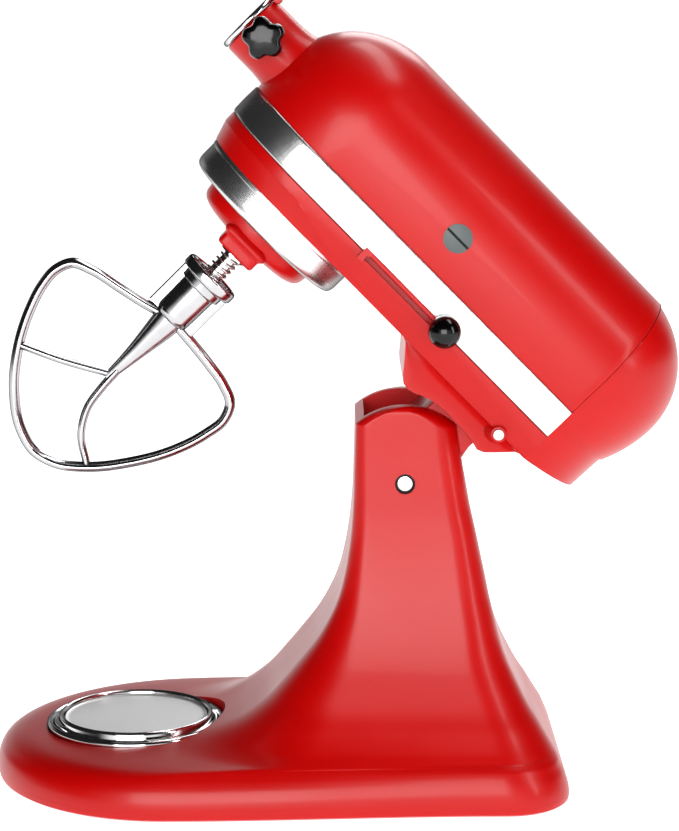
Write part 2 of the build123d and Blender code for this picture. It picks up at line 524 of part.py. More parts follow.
def motor_frame():
    core = rod_x(0, HUB_Z, STATOR_FRONT, STATOR_REAR, STATOR_R) - rod_x(0, HUB_Z, -80, 0, ARMATURE_R + 0.8)
    for side in (-1, 1):
        core -= Pos(0, 0, HUB_Z) * box(STATOR_FRONT - 1, STATOR_REAR + 1, side * 34 - 6, side * 34 + 6, -14, 14)
    save_head("motor_stator", core)
    coils = []
    for x0, x1 in ((STATOR_FRONT - 7, STATOR_FRONT - 0.2), (STATOR_REAR + 0.2, STATOR_REAR + 9)):
        coils.append(rod_x(0, HUB_Z, x0, x1, 42) - rod_x(0, HUB_Z, x0 - 1, x1 + 1, 27))
    save_head("stator_windings", Compound([fillet(c.edges(), 2.5) for c in coils]))
    holder = rod_x(0, HUB_Z, 12, 16, 50) - rod_x(0, HUB_Z, 10, 20, 9.6)
    for turn in range(45, 405, 90):
        holder -= Pos(0, 0, HUB_Z) * Rot(turn, 0, 0) * Pos(14, 0, 30) * Rot(0, 90, 0) * Cylinder(13, 8)
    save_head("rear_bearing_holder", holder)
    bearing = rod_x(0, HUB_Z, 11, 17, 9.5) - rod_x(0, HUB_Z, 0, 30, MOTOR_SHAFT_R + RUNNING)
    save_head("rear_bearing", bearing)
    board = rod_x(0, HUB_Z, 31, 33, 44) - rod_x(0, HUB_Z, 20, 40, 14)
    board += box(33, 47, -30, -18, HUB_Z + 4, HUB_Z + 20) + box(33, 42, 16, 30, HUB_Z - 18, HUB_Z - 4)
    save_head("speed_control_plate", board)


def brushes():
    caps, holders, carbons, springs = [], [], [], []
    for side in (-1, 1):
        cap = rod_y(BRUSH_X, HUB_Z, *sorted((side * 55.2, side * 61.0)), 8.4)
        cap -= box(BRUSH_X - 9, BRUSH_X + 9, *sorted((side * 59.6, side * 62)), HUB_Z - 0.9, HUB_Z + 0.9)
        caps.append(cap)
        low, high = sorted((side * 16.5, side * 55.0))
        tube = box(BRUSH_X - 6, BRUSH_X + 6, low, high, HUB_Z - 6, HUB_Z + 6)
        tube -= box(BRUSH_X - 4, BRUSH_X + 4, -70, 70, HUB_Z - 4, HUB_Z + 4)
        holders.append(tube)
        low, high = sorted((side * 14.3, side * 34.0))
        carbons.append(box(BRUSH_X - 3.9, BRUSH_X + 3.9, low, high, HUB_Z - 3.9, HUB_Z + 3.9))
        low, high = sorted((side * 34.1, side * 55.1))
        springs.append(rod_y(BRUSH_X, HUB_Z, low, high, 3.2) - rod_y(BRUSH_X, HUB_Z, -70, 70, 2.4))
    save_head("brush_caps", Compound(caps))
    save_head("brush_holders", Compound(holders))
    save_head("carbon_brushes", Compound(carbons))
    save_head("brush_springs", Compound(springs))


# ---------------------------------------------------------------- levers


def speed_lever():
    tongue = box(LEVER_X - 5, LEVER_X + 5, -68, -46, SLOT_LOW + 0.6, SLOT_HIGH - 0.6)
    save_head("speed_lever", tongue)
    knob = Pos(LEVER_X, -72.0, LEVER_KNOB_Z) * Sphere(9.4)
    knob = knob & box(-100, 0, -82, -65.5, 0, 200)
    save_head("speed_knob", knob - box(LEVER_X - 5, LEVER_X + 5, -68, -46, SLOT_LOW + 0.6, SLOT_HIGH - 0.6))


def head_lock():
    shaft = rod_y(LOCK_X, LOCK_Z, -63.0, 68.0, 3.0)
    save_head("lock_shaft", shaft)
    arm = box(LOCK_X - 4, LOCK_X + 34, 64.5, 68, LOCK_Z - 4, LOCK_Z + 4)
    arm = fillet(arm.edges().filter_by(Axis.Y), 3.5) - rod_y(LOCK_X, LOCK_Z, 60, 70, 3.0)
    save_head("lock_lever", arm)
    knob = Pos(LOCK_X + 28, 76.4, LOCK_Z) * Rot(90, 0, 0) * Cylinder(7.5, 16)
    knob = fillet(knob.edges().filter_by(GeomType.CIRCLE), 3.0)
    save_head("lock_lever_knob", knob)


for build in (
    pedestal,
    base_fittings,
    bowl_plate,
    motor_housing,
    rear_cover,
    lower_casing,
    head_trim,
    attachment_hub,
    planetary,
    agitator,
    flat_beater,
    worm_shaft,
    gear_bracket,
    armature,
    motor_frame,
    brushes,
    speed_lever,
    head_lock,
):
    build()
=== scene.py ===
"""Looks of a tilt-head stand mixer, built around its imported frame.

Shapes are worked out in millimetres. Head pieces are drawn with the head level, from the middle of the
hinge pin, with u to the rear, y across and w up, and are then turned back to the rest tilt.
"""

import json
import logging
import math
from dataclasses import dataclass, field
from enum import Enum

import bmesh
import bpy
import numpy as np
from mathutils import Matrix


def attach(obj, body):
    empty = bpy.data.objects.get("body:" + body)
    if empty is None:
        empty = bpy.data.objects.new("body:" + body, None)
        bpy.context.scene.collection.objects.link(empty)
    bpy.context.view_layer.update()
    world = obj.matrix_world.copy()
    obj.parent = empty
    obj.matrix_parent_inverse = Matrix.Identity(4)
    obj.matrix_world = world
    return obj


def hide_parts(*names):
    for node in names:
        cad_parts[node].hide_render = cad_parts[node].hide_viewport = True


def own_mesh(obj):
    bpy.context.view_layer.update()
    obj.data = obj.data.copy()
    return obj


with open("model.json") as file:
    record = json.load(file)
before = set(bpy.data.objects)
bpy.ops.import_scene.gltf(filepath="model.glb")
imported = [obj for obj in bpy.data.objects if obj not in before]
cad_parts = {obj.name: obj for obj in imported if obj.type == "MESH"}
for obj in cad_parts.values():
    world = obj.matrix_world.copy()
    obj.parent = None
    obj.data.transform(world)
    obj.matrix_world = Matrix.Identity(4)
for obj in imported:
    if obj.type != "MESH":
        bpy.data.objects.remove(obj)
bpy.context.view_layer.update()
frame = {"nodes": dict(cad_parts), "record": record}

LOG = logging.getLogger("mixer")
Array = np.ndarray
Socket = bpy.types.NodeSocket

MM = 0.001
TILT = math.radians(45.4)
HINGE = (42.0, 186.5)
PLANET_U = -163.0
ORBIT_R, ORBIT_ANGLE = 28.0, math.radians(-93.0)
AGITATOR = (PLANET_U + ORBIT_R * math.cos(ORBIT_ANGLE), ORBIT_R * math.sin(ORBIT_ANGLE))
HUB_W = 122.3
SIDES = {-1: "near", 1: "far"}


class Space(Enum):
    """The frame in which a piece is drawn."""

    ROW = "row"
    HEAD = "head"
    BEATER = "beater"


def to_row(points: Array, space: Space) -> Array:
    """Turns millimetres in a drawing frame to metres in the row frame.

    A head point is turned about the hinge line by the tilt:
    x = hinge + u cos + w sin, z = hinge - u sin + w cos.

    Args:
        points: any array whose last axis is x, y, z.
        space: the frame the points are in.

    Returns:
        An array of the same shape, in metres.
    """
    p = np.asarray(points, float)
    if space is Space.ROW:
        return p * MM
    u, y, w = p[..., 0], p[..., 1], p[..., 2]
    if space is Space.BEATER:
        u, y = u + AGITATOR[0], y + AGITATOR[1]
    c, s = math.cos(TILT), math.sin(TILT)
    return np.stack([HINGE[0] + u * c + w * s, y, HINGE[1] - u * s + w * c], -1) * MM


# ---------------------------------------------------------------- surfaces


def through(t: Array, knots: list[float], values: object) -> Array:
    """Cubic Hermite curve through values at knots, with slopes from the neighbouring knots.

    Args:
        t: where to read the curve.
        knots: rising parameter of each value.
        values: one number or one point for each knot.

    Returns:
        The values at t.
    """
    k, v = np.asarray(knots, float), np.asarray(values, float)
    slope = np.gradient(v, k, axis=0)
    i = np.clip(np.searchsorted(k, t) - 1, 0, len(k) - 2)
    shape = (-1,) + (1,) * (v.ndim - 1)
    h = (k[i + 1] - k[i]).reshape(shape)
    s = ((t - k[i]) / (k[i + 1] - k[i])).reshape(shape)
    first = (2 * s**3 - 3 * s**2 + 1) * v[i] + (s**3 - 2 * s**2 + s) * slope[i] * h
    return first + (3 * s**2 - 2 * s**3) * v[i + 1] + (s**3 - s**2) * slope[i + 1] * h


def along(points: list[tuple[float, ...]], count: int) -> Array:
    """Evenly spaced points on a smooth curve through the given ones, by their running chord length.

    Args:
        points: the points to pass through, in order.
        count: how many points to return.

    Returns:
        The points, one row each.
    """
    p = np.asarray(points, float)
    run = np.concatenate([[0.0], np.cumsum(np.linalg.norm(np.diff(p, axis=0), axis=1))])
    return through(np.linspace(0, run[-1], count), list(run), p)


def rounded(points: list[tuple[float, float]], radii: list[float], steps: int = 6) -> Array:
    """A profile with its inner corners rounded.

    Each corner is a quadratic curve between two points on its sides: (1-t)^2 p + 2t(1-t) b + t^2 q.

    Args:
        points: the corners, in order.
        radii: how far the rounding reaches along the sides, one for each corner.
        steps: points on each rounding.

    Returns:
        The points of the rounded profile.
    """
    out = [np.asarray(points[:1], float)]
    t = np.linspace(0, 1, steps)[:, None]
    for a, b, c, r in zip(points, points[1:], points[2:], radii[1:-1]):
        a, b, c = (np.asarray(q, float) for q in (a, b, c))
        p = b + (a - b) * min(0.5, r / max(np.linalg.norm(a - b), 1e-6))
        q = b + (c - b) * min(0.5, r / max(np.linalg.norm(c - b), 1e-6))
        out.append((1 - t) ** 2 * p + 2 * t * (1 - t) * b + t**2 * q)
    out.append(np.asarray(points[-1:], float))
    return np.concatenate(out)


@dataclass
class Patch:
    """A grid of points, rows by columns by xyz. A wrapped patch joins its last column to its first."""

    points: Array
    wrap: bool = True
    cap_first: bool = False
    cap_last: bool = False
    loop_rows: bool = False

    def faces(self, start: int) -> list[list[int]]:
        """Quads between neighbouring rows and columns, and a face across each capped end.

        Args:
            start: number of the patch's first point in the whole mesh.

        Returns:
            The faces, as lists of point numbers.
        """
        rows, cols = self.points.shape[:2]
        index = start + np.arange(rows * cols).reshape(rows, cols)
        right = np.roll(index, -1, axis=1) if self.wrap else index[:, 1:]
        left = index if self.wrap else index[:, :-1]
        if self.loop_rows:
            low, low_right = left, right
            high, high_right = np.roll(left, -1, axis=0), np.roll(right, -1, axis=0)
        else:
            low, low_right, high, high_right = left[:-1], right[:-1], left[1:], right[1:]
        quads = np.stack([low, low_right, high_right, high], -1).reshape(-1, 4).tolist()
        if self.cap_first:
            quads.append(index[0, ::-1].tolist() if self.wrap else index[:, 0].tolist())
        if self.cap_last:
            quads.append(index[-1].tolist() if self.wrap else index[::-1, -1].tolist())
        return quads


def lathe(profile: Array, centre: tuple[float, float, float], axis: int, count: int = 96) -> Patch:
    """A surface turned about an axis: every profile point (r, h) goes round at radius r and height h.

    Args:
        profile: radius and height pairs, from one end of the shape to the other.
        centre: a point on the axis.
        axis: 0, 1 or 2 for an axis along x, y or z of the drawing frame.
        count: points round the circle.

    Returns:
        The closed patch.
    """
    turn = np.linspace(0, 2 * math.pi, count, endpoint=False)
    r, h = profile[:, 0][:, None], profile[:, 1][:, None]
    ring = [r * np.cos(turn), r * np.sin(turn), h + 0 * turn]
    order = {0: (2, 0, 1), 1: (0, 2, 1), 2: (0, 1, 2)}[axis]
    points = np.stack([ring[k] for k in order], -1) + np.asarray(centre, float)
    return Patch(points, True, bool(profile[0, 0] > 1e-6), bool(profile[-1, 0] > 1e-6))


def sweep(path: Array, half_width: Array, half_depth: Array, power: float = 1.0, count: int = 20) -> Patch:
    """A bar whose section is carried along a line in the u, w plane.

    The section is a superellipse: across = W sgn(cos) |cos|^power, deep = D sgn(sin) |sin|^power, with the
    across direction square to the path and the deep direction along y.

    Args:
        path: points of the line in u and w.
        half_width: W at each point.
        half_depth: D at each point.
        power: 1 for an ellipse, less for a squarer section.
        count: points round the section.

    Returns:
        The patch, closed at both ends.
    """
    run = np.gradient(path, axis=0)
    run /= np.linalg.norm(run, axis=1)[:, None]
    across = np.stack([-run[:, 1], run[:, 0]], -1)
    turn = np.linspace(0, 2 * math.pi, count, endpoint=False)
    c, s = np.cos(turn), np.sin(turn)
    a = np.sign(c) * np.abs(c) ** power * np.asarray(half_width).reshape(-1, 1)
    b = np.sign(s) * np.abs(s) ** power * np.asarray(half_depth).reshape(-1, 1)
    plane = path[:, None, :] + a[..., None] * across[:, None, :]
    b = np.broadcast_to(b, plane.shape[:2])
    return Patch(np.stack([plane[..., 0], b, plane[..., 1]], -1), True, True, True)


def extruded(outline: Array, low: float, high: float, edge: float = 0.8) -> Patch:
    """A side outline in u and w carried across y, with its rims drawn in by a small edge.

    Args:
        outline: points in u and w, without the first one repeated.
        low: y of one side.
        high: y of the other side.
        edge: how far each rim is drawn in.

    Returns:
        The patch, closed at both ends.
    """
    centre = outline.mean(axis=0)
    reach = np.linalg.norm(outline - centre, axis=1, keepdims=True)
    inner = centre + (outline - centre) * (1 - edge / np.maximum(reach, edge * 2))
    ys = [low, low + edge, high - edge, high]
    rings = [inner, outline, outline, inner]
    points = [np.stack([r[:, 0], np.full(len(r), y), r[:, 1]], -1) for r, y in zip(rings, ys)]
    return Patch(np.stack(points), True, True, True)


def make_object(name: str, patches: list[Patch], space: Space, sharp: float = 38.0) -> bpy.types.Object:
    """Puts patches into one mesh, closes their poles, points the faces outwards and smooths below an angle.

    Args:
        name: name of the piece.
        patches: the grids that make it.
        space: the frame they are drawn in.
        sharp: faces that meet at more than this many degrees keep a hard edge.

    Returns:
        The object, at the origin, with its place in its mesh.
    """
    points, faces, start = [], [], 0
    for patch in patches:
        faces += patch.faces(start)
        points.append(patch.points.reshape(-1, 3))
        start += len(points[-1])
    mesh = bpy.data.meshes.new(name)
    mesh.from_pydata(to_row(np.concatenate(points), space).tolist(), [], faces)
    clean(mesh)
    smooth(mesh, sharp)
    piece = bpy.data.objects.new(name, mesh)
    bpy.context.scene.collection.objects.link(piece)
    return piece


def clean(mesh: bpy.types.Mesh) -> None:
    """Merges doubled points, drops empty faces and turns every face outwards.

    Args:
        mesh: the mesh to change.
    """
    work = bmesh.new()
    work.from_mesh(mesh)
    bmesh.ops.remove_doubles(work, verts=work.verts, dist=2e-6)
    bmesh.ops.dissolve_degenerate(work, edges=work.edges, dist=1e-6)
    bmesh.ops.recalc_face_normals(work, faces=work.faces)
    work.to_mesh(mesh)
    work.free()


def smooth(mesh: bpy.types.Mesh, sharp: float) -> None:
    """Smooth shading with hard edges above an angle in degrees."""
    mesh.shade_smooth()
    mesh.set_sharp_from_angle(angle=math.radians(sharp))


def cut(piece: bpy.types.Object, cutters: list[bpy.types.Object], sharp: float = 32.0) -> None:
    """Takes the cutters' volume out of a piece and removes the cutters.

    Args:
        piece: the object to cut.
        cutters: closed objects, which are used up.
        sharp: faces that meet at more than this many degrees keep a hard edge.
    """
    for cutter in cutters:
        tool = piece.modifiers.new("cut", "BOOLEAN")
        tool.object, tool.operation, tool.solver = cutter, "DIFFERENCE", "EXACT"
    graph = bpy.context.evaluated_depsgraph_get()
    mesh = bpy.data.meshes.new_from_object(piece.evaluated_get(graph))
    piece.modifiers.clear()
    piece.data = mesh
    mesh.name = piece.name
    for cutter in cutters:
        bpy.data.objects.remove(cutter)
    smooth(mesh, sharp)


# ---------------------------------------------------------------- finishes


def linear(code: str) -> tuple[float, float, float, float]:
    """sRGB hex colour as linear light.

    Args:
        code: the colour, such as "#a0b0c0".

    Returns:
        Red, green, blue and alpha.
    """
    parts = [int(code[k : k + 2], 16) / 255 for k in (1, 3, 5)]
    line = [p / 12.92 if p <= 0.04045 else ((p + 0.055) / 1.055) ** 2.4 for p in parts]
    return (*line, 1.0)


def add(
    tree: bpy.types.NodeTree, kind: str, inputs: dict[object, object], **settings: object
) -> bpy.types.Node:
    """Adds a node, sets its properties, and sets or links its inputs.

    Args:
        tree: the material's node tree.
        kind: the node's type name.
        inputs: socket name or number to a value or to another node's output.
        settings: the node's own properties.

    Returns:
        The new node.
    """
    made = tree.nodes.new(kind)
    for key, value in settings.items():
        setattr(made, key, value)
    for key, value in inputs.items():
        if isinstance(value, Socket):
            tree.links.new(value, made.inputs[key])
        else:
            made.inputs[key].default_value = value
    return made


class Pattern(Enum):
    """How a surface was made, which decides its relief."""

    SPRAYED = "sprayed"
    POLISHED = "polished"
    BRUSHED = "brushed"
    TURNED = "turned"
    MOULDED = "moulded"
    CAST = "cast"


@dataclass(frozen=True)
class Finish:
    """One finish: two tones that drift into each other, a gloss range and a fine relief in millimetres."""

    name: str
    tones: tuple[str, str]
    metallic: float
    gloss: tuple[float, float]
    pattern: Pattern
    grain_mm: float
    relief: float
    tone_mm: float = 40.0
    coat: float = 0.0
    centre: tuple[float, float, float] = (0.0, 0.0, 0.0)
    turn: float = 0.0
    specular: float = 0.5
    edge: str = "#ffffff"

    def grain(self, tree: bpy.types.NodeTree, place: Socket) -> Socket:
        """Height of the fine relief: noise, noise drawn out into streaks, or rings about the centre.

        Args:
            tree: the material's node tree.
            place: the coordinates to read.

        Returns:
            The output that carries the height.
        """
        scale = 1.0 / (self.grain_mm * MM)
        if self.pattern is Pattern.TURNED:
            rings = add(tree, "ShaderNodeTexWave", {"Vector": place, "Scale": scale / 6, "Distortion": 0.4},
                        wave_type="RINGS", rings_direction="Z")
            return rings.outputs["Fac"]
        if self.pattern is Pattern.BRUSHED:
            long = add(tree, "ShaderNodeMapping", {"Vector": place, "Scale": (1.0, 1.0, 0.03)})
            place = long.outputs[0]
        detail = 4.0 if self.pattern is Pattern.CAST else 2.0
        noise = add(tree, "ShaderNodeTexNoise", {"Vector": place, "Scale": scale, "Detail": detail})
        return noise.outputs["Fac"]

    def build(self) -> bpy.types.Material:
        """Makes the material: tones and gloss from a broad noise, relief from the grain.

        Returns:
            The material.
        """
        material = bpy.data.materials.new(self.name)
        material.use_nodes = True
        tree = material.node_tree
        tree.nodes.clear()
        coords = add(tree, "ShaderNodeTexCoord", {}).outputs["Object"]
        moved = add(tree, "ShaderNodeMapping", {"Vector": coords, "Location": self.centre})
        spun = add(tree, "ShaderNodeMapping", {"Vector": moved.outputs[0], "Rotation": (0.0, self.turn, 0.0)})
        place = spun.outputs[0]
        scale = 1 / (self.tone_mm * MM)
        broad = add(tree, "ShaderNodeTexNoise", {"Vector": place, "Scale": scale, "Detail": 3.0})
        drift = broad.outputs["Fac"]
        dark, light = (linear(code) for code in self.tones)
        tone = add(tree, "ShaderNodeMix", {0: drift, 6: dark, 7: light}, data_type="RGBA")
        height = self.grain(tree, place)
        rough = add(tree, "ShaderNodeMapRange", {
            "Value": drift, "From Min": 0.3, "From Max": 0.7,
            "To Min": self.gloss[0], "To Max": self.gloss[1],
        })
        bump = add(tree, "ShaderNodeBump", {"Height": height, "Strength": self.relief, "Distance": 0.0001})
        shader = add(tree, "ShaderNodeBsdfPrincipled", {
            "Base Color": tone.outputs[2], "Metallic": self.metallic, "Roughness": rough.outputs[0],
            "Normal": bump.outputs[0], "Coat Weight": self.coat, "Coat Roughness": 0.05,
            "Specular IOR Level": self.specular, "Specular Tint": linear(self.edge),
        })
        add(tree, "ShaderNodeOutputMaterial", {"Surface": shader.outputs[0]})
        return material


PLATE_CENTRE = (121.0 * MM, 0.0, 0.0)
FINISHES: dict[str, Finish] = {
    # Enamel baked on a casting: deep even red, a clear gloss and a faint orange peel.
    "red_enamel": Finish(
        "gloss_red_enamel", ("#b40000", "#bc0101"), 0.0, (0.3, 0.36), Pattern.SPRAYED, 3.0, 0.03, 60.0, 0.06,
        specular=0.3),
    # Moulded rubber of the feet: near black and dull, with a fine tooth.
    "black_rubber": Finish(
        "black_moulded_rubber", ("#141414", "#1e1e1e"), 0.0, (0.65, 0.8), Pattern.MOULDED, 0.8, 0.3),
    # Plated and buffed trim: almost a mirror, with a slight haze.
    "polished_steel": Finish(
        "buffed_chrome_plate", ("#dcdcdc", "#ececec"), 1.0, (0.08, 0.16), Pattern.POLISHED, 2.0, 0.02,
        edge="#303030"),
    # Satin sheet: soft grey with fine turned marks about the plate's centre.
    "satin_aluminium": Finish(
        "satin_aluminium_sheet", ("#cdcdcd", "#d9d9d9"), 1.0, (0.46, 0.54), Pattern.TURNED, 0.6, 0.12,
        30.0, 0.0, PLATE_CENTRE),
    # Tumbled and burnished casting of the beater: bright, with a slight waviness from the mould.
    "burnished_aluminium": Finish(
        "burnished_cast_aluminium", ("#bdbdbf", "#d2d2d4"), 1.0, (0.1, 0.2), Pattern.CAST, 5.0, 0.25, 15.0,
        edge="#202020"),
    # Black phenolic grips, polished in the mould.
    "black_gloss_plastic": Finish(
        "black_phenolic_gloss", ("#020202", "#050505"), 0.0, (0.1, 0.16), Pattern.MOULDED, 3.0, 0.03, 20.0,
        specular=0.35),
    # Grey moulded caps over the motor brushes.
    "grey_plastic": Finish(
        "grey_moulded_nylon", ("#484f4f", "#525959"), 0.0, (0.38, 0.48), Pattern.MOULDED, 0.7, 0.12),
    # Zinc plated screws: cool grey and lightly dulled.
    "zinc_steel": Finish(
        "zinc_plated_steel", ("#9fa19e", "#b4b6b3"), 1.0, (0.28, 0.4), Pattern.CAST, 0.8, 0.1, 10.0),
    # Cut and ground gears and shafts: mid grey with fine drawn marks.
    "gear_steel": Finish(
        "ground_gear_steel", ("#85878a", "#989a9d"), 1.0, (0.25, 0.35), Pattern.BRUSHED, 0.5, 0.15, 12.0),
    # Oil-filled bearing bronze and the worm wheel: brown gold, slightly grainy.
    "bronze": Finish(
        "sintered_bronze", ("#9a6a34", "#b07c40"), 1.0, (0.35, 0.45), Pattern.CAST, 0.6, 0.15, 12.0),
    # Enamelled winding wire and commutator bars: warm red brown in fine strands.
    "copper": Finish(
        "lacquered_copper", ("#a8552c", "#b8663a"), 1.0, (0.25, 0.35), Pattern.BRUSHED, 0.7, 0.4, 12.0),
    # Pressed carbon of the brushes: near black and dull.
    "carbon": Finish(
        "pressed_carbon", ("#151515", "#222222"), 0.0, (0.55, 0.65), Pattern.CAST, 0.5, 0.2, 6.0),
}
EXTRA: dict[str, Finish] = {
    # Rolled trim strip: white gloss with fine marks along the head.
    "trim": Finish(
        "bright_rolled_trim", ("#f0f0f0", "#fafafa"), 1.0, (0.24, 0.32), Pattern.BRUSHED, 0.5, 0.3, 80.0,
        turn=-TILT, edge="#505050"),
    # Painted shade: a near-black finish that stands in for the unlit clearance round the pin and in the brush
    # caps' grooves.
    "shadow": Finish(
        "painted_shade_black", ("#040404", "#080808"), 0.0, (0.7, 0.8), Pattern.MOULDED, 1.0, 0.1),
}


class Palette:
    """Builds each finish once and dresses the frame's own nodes by their material slot."""

    def __init__(self) -> None:
        """Builds every finish."""
        self.materials = {k: f.build() for k, f in {**FINISHES, **EXTRA}.items()}

    def dress(self, piece: bpy.types.Object, key: str) -> None:
        """Gives a piece its one material."""
        piece.data.materials.clear()
        piece.data.materials.append(self.materials[key])

    def dress_nodes(self) -> None:
        """Gives every CAD node the finish of its slot."""
        for row in frame["record"]["subparts"]:
            piece = frame["nodes"][row["node"]]
            if not piece.data.materials:
                piece.data.materials.append(self.materials[row["material_slot"]])
            for k in range(len(piece.material_slots)):
                piece.material_slots[k].material = self.materials[row["material_slot"]]


@dataclass
class Part:
    """A maker of pieces, which dresses each one, ties it to its body and hides the CAD nodes it stands for.
    """

    palette: Palette

    def finish(
        self, piece: bpy.types.Object, body: str, slot: str, nodes: tuple[str, ...], key: str = ""
    ) -> None:
        """Dresses a piece, ties it to its body and hides the CAD nodes it stands for.

        Args:
            piece: the object.
            body: the body it moves with.
            slot: the record's material slot.
            nodes: CAD nodes it stands for.
            key: finish, where it isn't the slot's own.
        """
        self.palette.dress(piece, key or slot)
        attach(piece, body)
        if nodes:
            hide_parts(*nodes)
        LOG.info("%s: %d faces on %s", piece.name, len(piece.data.polygons), body)


# ---------------------------------------------------------------- pedestal


@dataclass
class Pedestal(Part):
    """Base and column in one casting: stacked plan outlines that run from the foot rim to the round crown."""

    crown_r: float = 45.0
    mouth: float = 30.6
    counts: tuple[int, int, int, int, int] = (8, 26, 40, 16, 12)
    # height, front x, rear x, half width at the front, at the rear, front and rear corner radius
    under: list[tuple[float, ...]] = field(default_factory=lambda: [
        (4.7, -194, 129, 96.6, 88, 96.6, 28),
        (2.4, -196, 131, 98.6, 90, 98.6, 30),
        (2.0, -202, 137, 104.4, 95.6, 104.4, 36),
        (3.4, -204.2, 138.8, 106.6, 97.8, 106.6, 38),
    ])
    flare: list[tuple[float, ...]] = field(default_factory=lambda: [
        (6.5, -205, 139.2, 107.2, 98.4, 107.2, 38),
        (10.5, -205, 138.6, 107.2, 98.4, 107.2, 38),
        (15.0, -204.2, 137.4, 106.4, 98.0, 106.4, 38),
        (19.5, -202.4, 135.8, 104.8, 97.0, 104.8, 37.5),
        (23.5, -199.0, 134.0, 102.4, 95.6, 102.4, 37),
        (26.4, -193.0, 132.8, 100.0, 94.2, 99.0, 36),
        (28.2, -182.0, 132.0, 98.2, 93.0, 95.0, 36),
        (29.2, -158.0, 131.4, 96.8, 92.0, 89.0, 35.5),
        (30.0, -128.0, 131.0, 95.6, 91.2, 82.0, 35),
        (31.0, -103.0, 130.4, 94.2, 90.2, 74.0, 35),
        (33.0, -85.5, 129.2, 92.0, 88.8, 66.0, 34),
        (36.0, -73.0, 127.4, 89.2, 86.8, 60.0, 33),
        (41.0, -61.0, 124.4, 85.6, 84.0, 53.0, 32),
        (47.0, -51.0, 120.8, 81.8, 80.8, 47.0, 30),
        (56.0, -40.0, 115.0, 76.6, 76.0, 41.0, 28),
        (68.0, -29.2, 108.8, 71.0, 70.6, 34.0, 26),
        (81.0, -18.4, 102.8, 65.4, 65.2, 28.0, 24),
        (93.0, -9.2, 98.6, 61.0, 60.8, 23.0, 22),
        (106.0, -1.8, 95.2, 56.9, 56.7, 18.5, 20),
        (118.0, 3.2, 92.3, 53.6, 53.4, 15.0, 19),
        (131.0, 6.6, 89.6, 50.9, 50.7, 12.5, 18),
        (143.0, 8.8, 87.0, 48.9, 48.7, 11.0, 17),
        (156.0, 10.5, 84.2, 47.2, 47.0, 10.0, 16),
        (174.0, 11.8, 80.2, 45.4, 45.2, 9.0, 15.5),
        (199.0, 12.5, 75.8, 43.4, 43.2, 8.0, 15),
        (215.0, 12.9, 73.2, 42.4, 42.2, 7.5, 14),
        (232.0, 13.2, 71.5, 41.6, 41.6, 7.0, 13),
    ])

    def outline(self, rows: Array) -> Array:
        """Closed plan outlines, each mirrored across y = 0.

        A half is a straight front, a quarter circle, a side that eases by 3t^2 - 2t^3 between the two half
        widths, a quarter circle and a straight rear.

        Args:
            rows: height, front x, rear x, two half widths and two corner radii on each row.

        Returns:
            Rows by columns by x, y, z.
        """
        z, f, r, hf, hr, rf, rr = (rows[:, k : k + 1] for k in range(7))
        t = [np.linspace(0, 1, n, endpoint=False)[None, :] for n in self.counts]
        a, b = t[1] * math.pi / 2, t[3] * math.pi / 2
        ease = t[2] ** 2 * (3 - 2 * t[2])
        xs = [f + 0 * t[0], f + rf * (1 - np.cos(a)), f + rf + (r - rr - f - rf) * t[2],
              r - rr + rr * np.sin(b), r + 0 * t[4], r]
        ys = [(hf - rf) * t[0], hf - rf + rf * np.sin(a), hf + (hr - hf) * ease,
              hr - rr + rr * np.cos(b), (hr - rr) * (1 - t[4]), 0 * r]
        x, y = np.concatenate(xs, axis=1), np.concatenate(ys, axis=1)
        x = np.concatenate([x, x[:, -2:0:-1]], axis=1)
        y = np.concatenate([y, -y[:, -2:0:-1]], axis=1)
        return np.stack([x, y, z + 0 * x], -1)

    def rings(self) -> Array:
        """Under side as given, flare smoothed row by row, and the top cut back to the crown's circle.

        Returns:
            The rows that outline takes, from the foot up.
        """
        table = np.asarray(self.flare, float)
        number = list(range(len(table)))
        shoulder = HINGE[1] + self.crown_r * math.sin(math.radians(48))
        low = through(np.linspace(0, number[-1], 240), number, table)
        low = low[low[:, 0] < shoulder]
        z = HINGE[1] + self.crown_r * np.sin(np.radians(np.linspace(48, 90, 22)))
        high = through(np.interp(z, table[:, 0], number), number, table)
        high[:, 0] = z
        rows = np.concatenate([low, high])
        z = rows[:, 0]
        reach = np.sqrt(np.maximum(self.crown_r**2 - (z - HINGE[1]) ** 2, 0.0))
        capped = z > HINGE[1]
        rows[:, 1] = np.where(capped, np.maximum(rows[:, 1], HINGE[0] - reach), rows[:, 1])
        rows[:, 2] = np.where(capped, np.minimum(rows[:, 2], HINGE[0] + reach), rows[:, 2])
        edge, top = 4.0, HINGE[1] + self.crown_r
        drop = edge - np.sqrt(np.maximum(edge**2 - np.maximum(z - top + edge, 0.0) ** 2, 0.0))
        rows[:, 3:5] -= drop[:, None]
        room = np.maximum(rows[:, 2] - rows[:, 1], 0.02) * 0.48
        rows[:, 5], rows[:, 6] = np.minimum(rows[:, 5], room), np.minimum(rows[:, 6], room)
        return np.concatenate([np.asarray(self.under, float), rows])

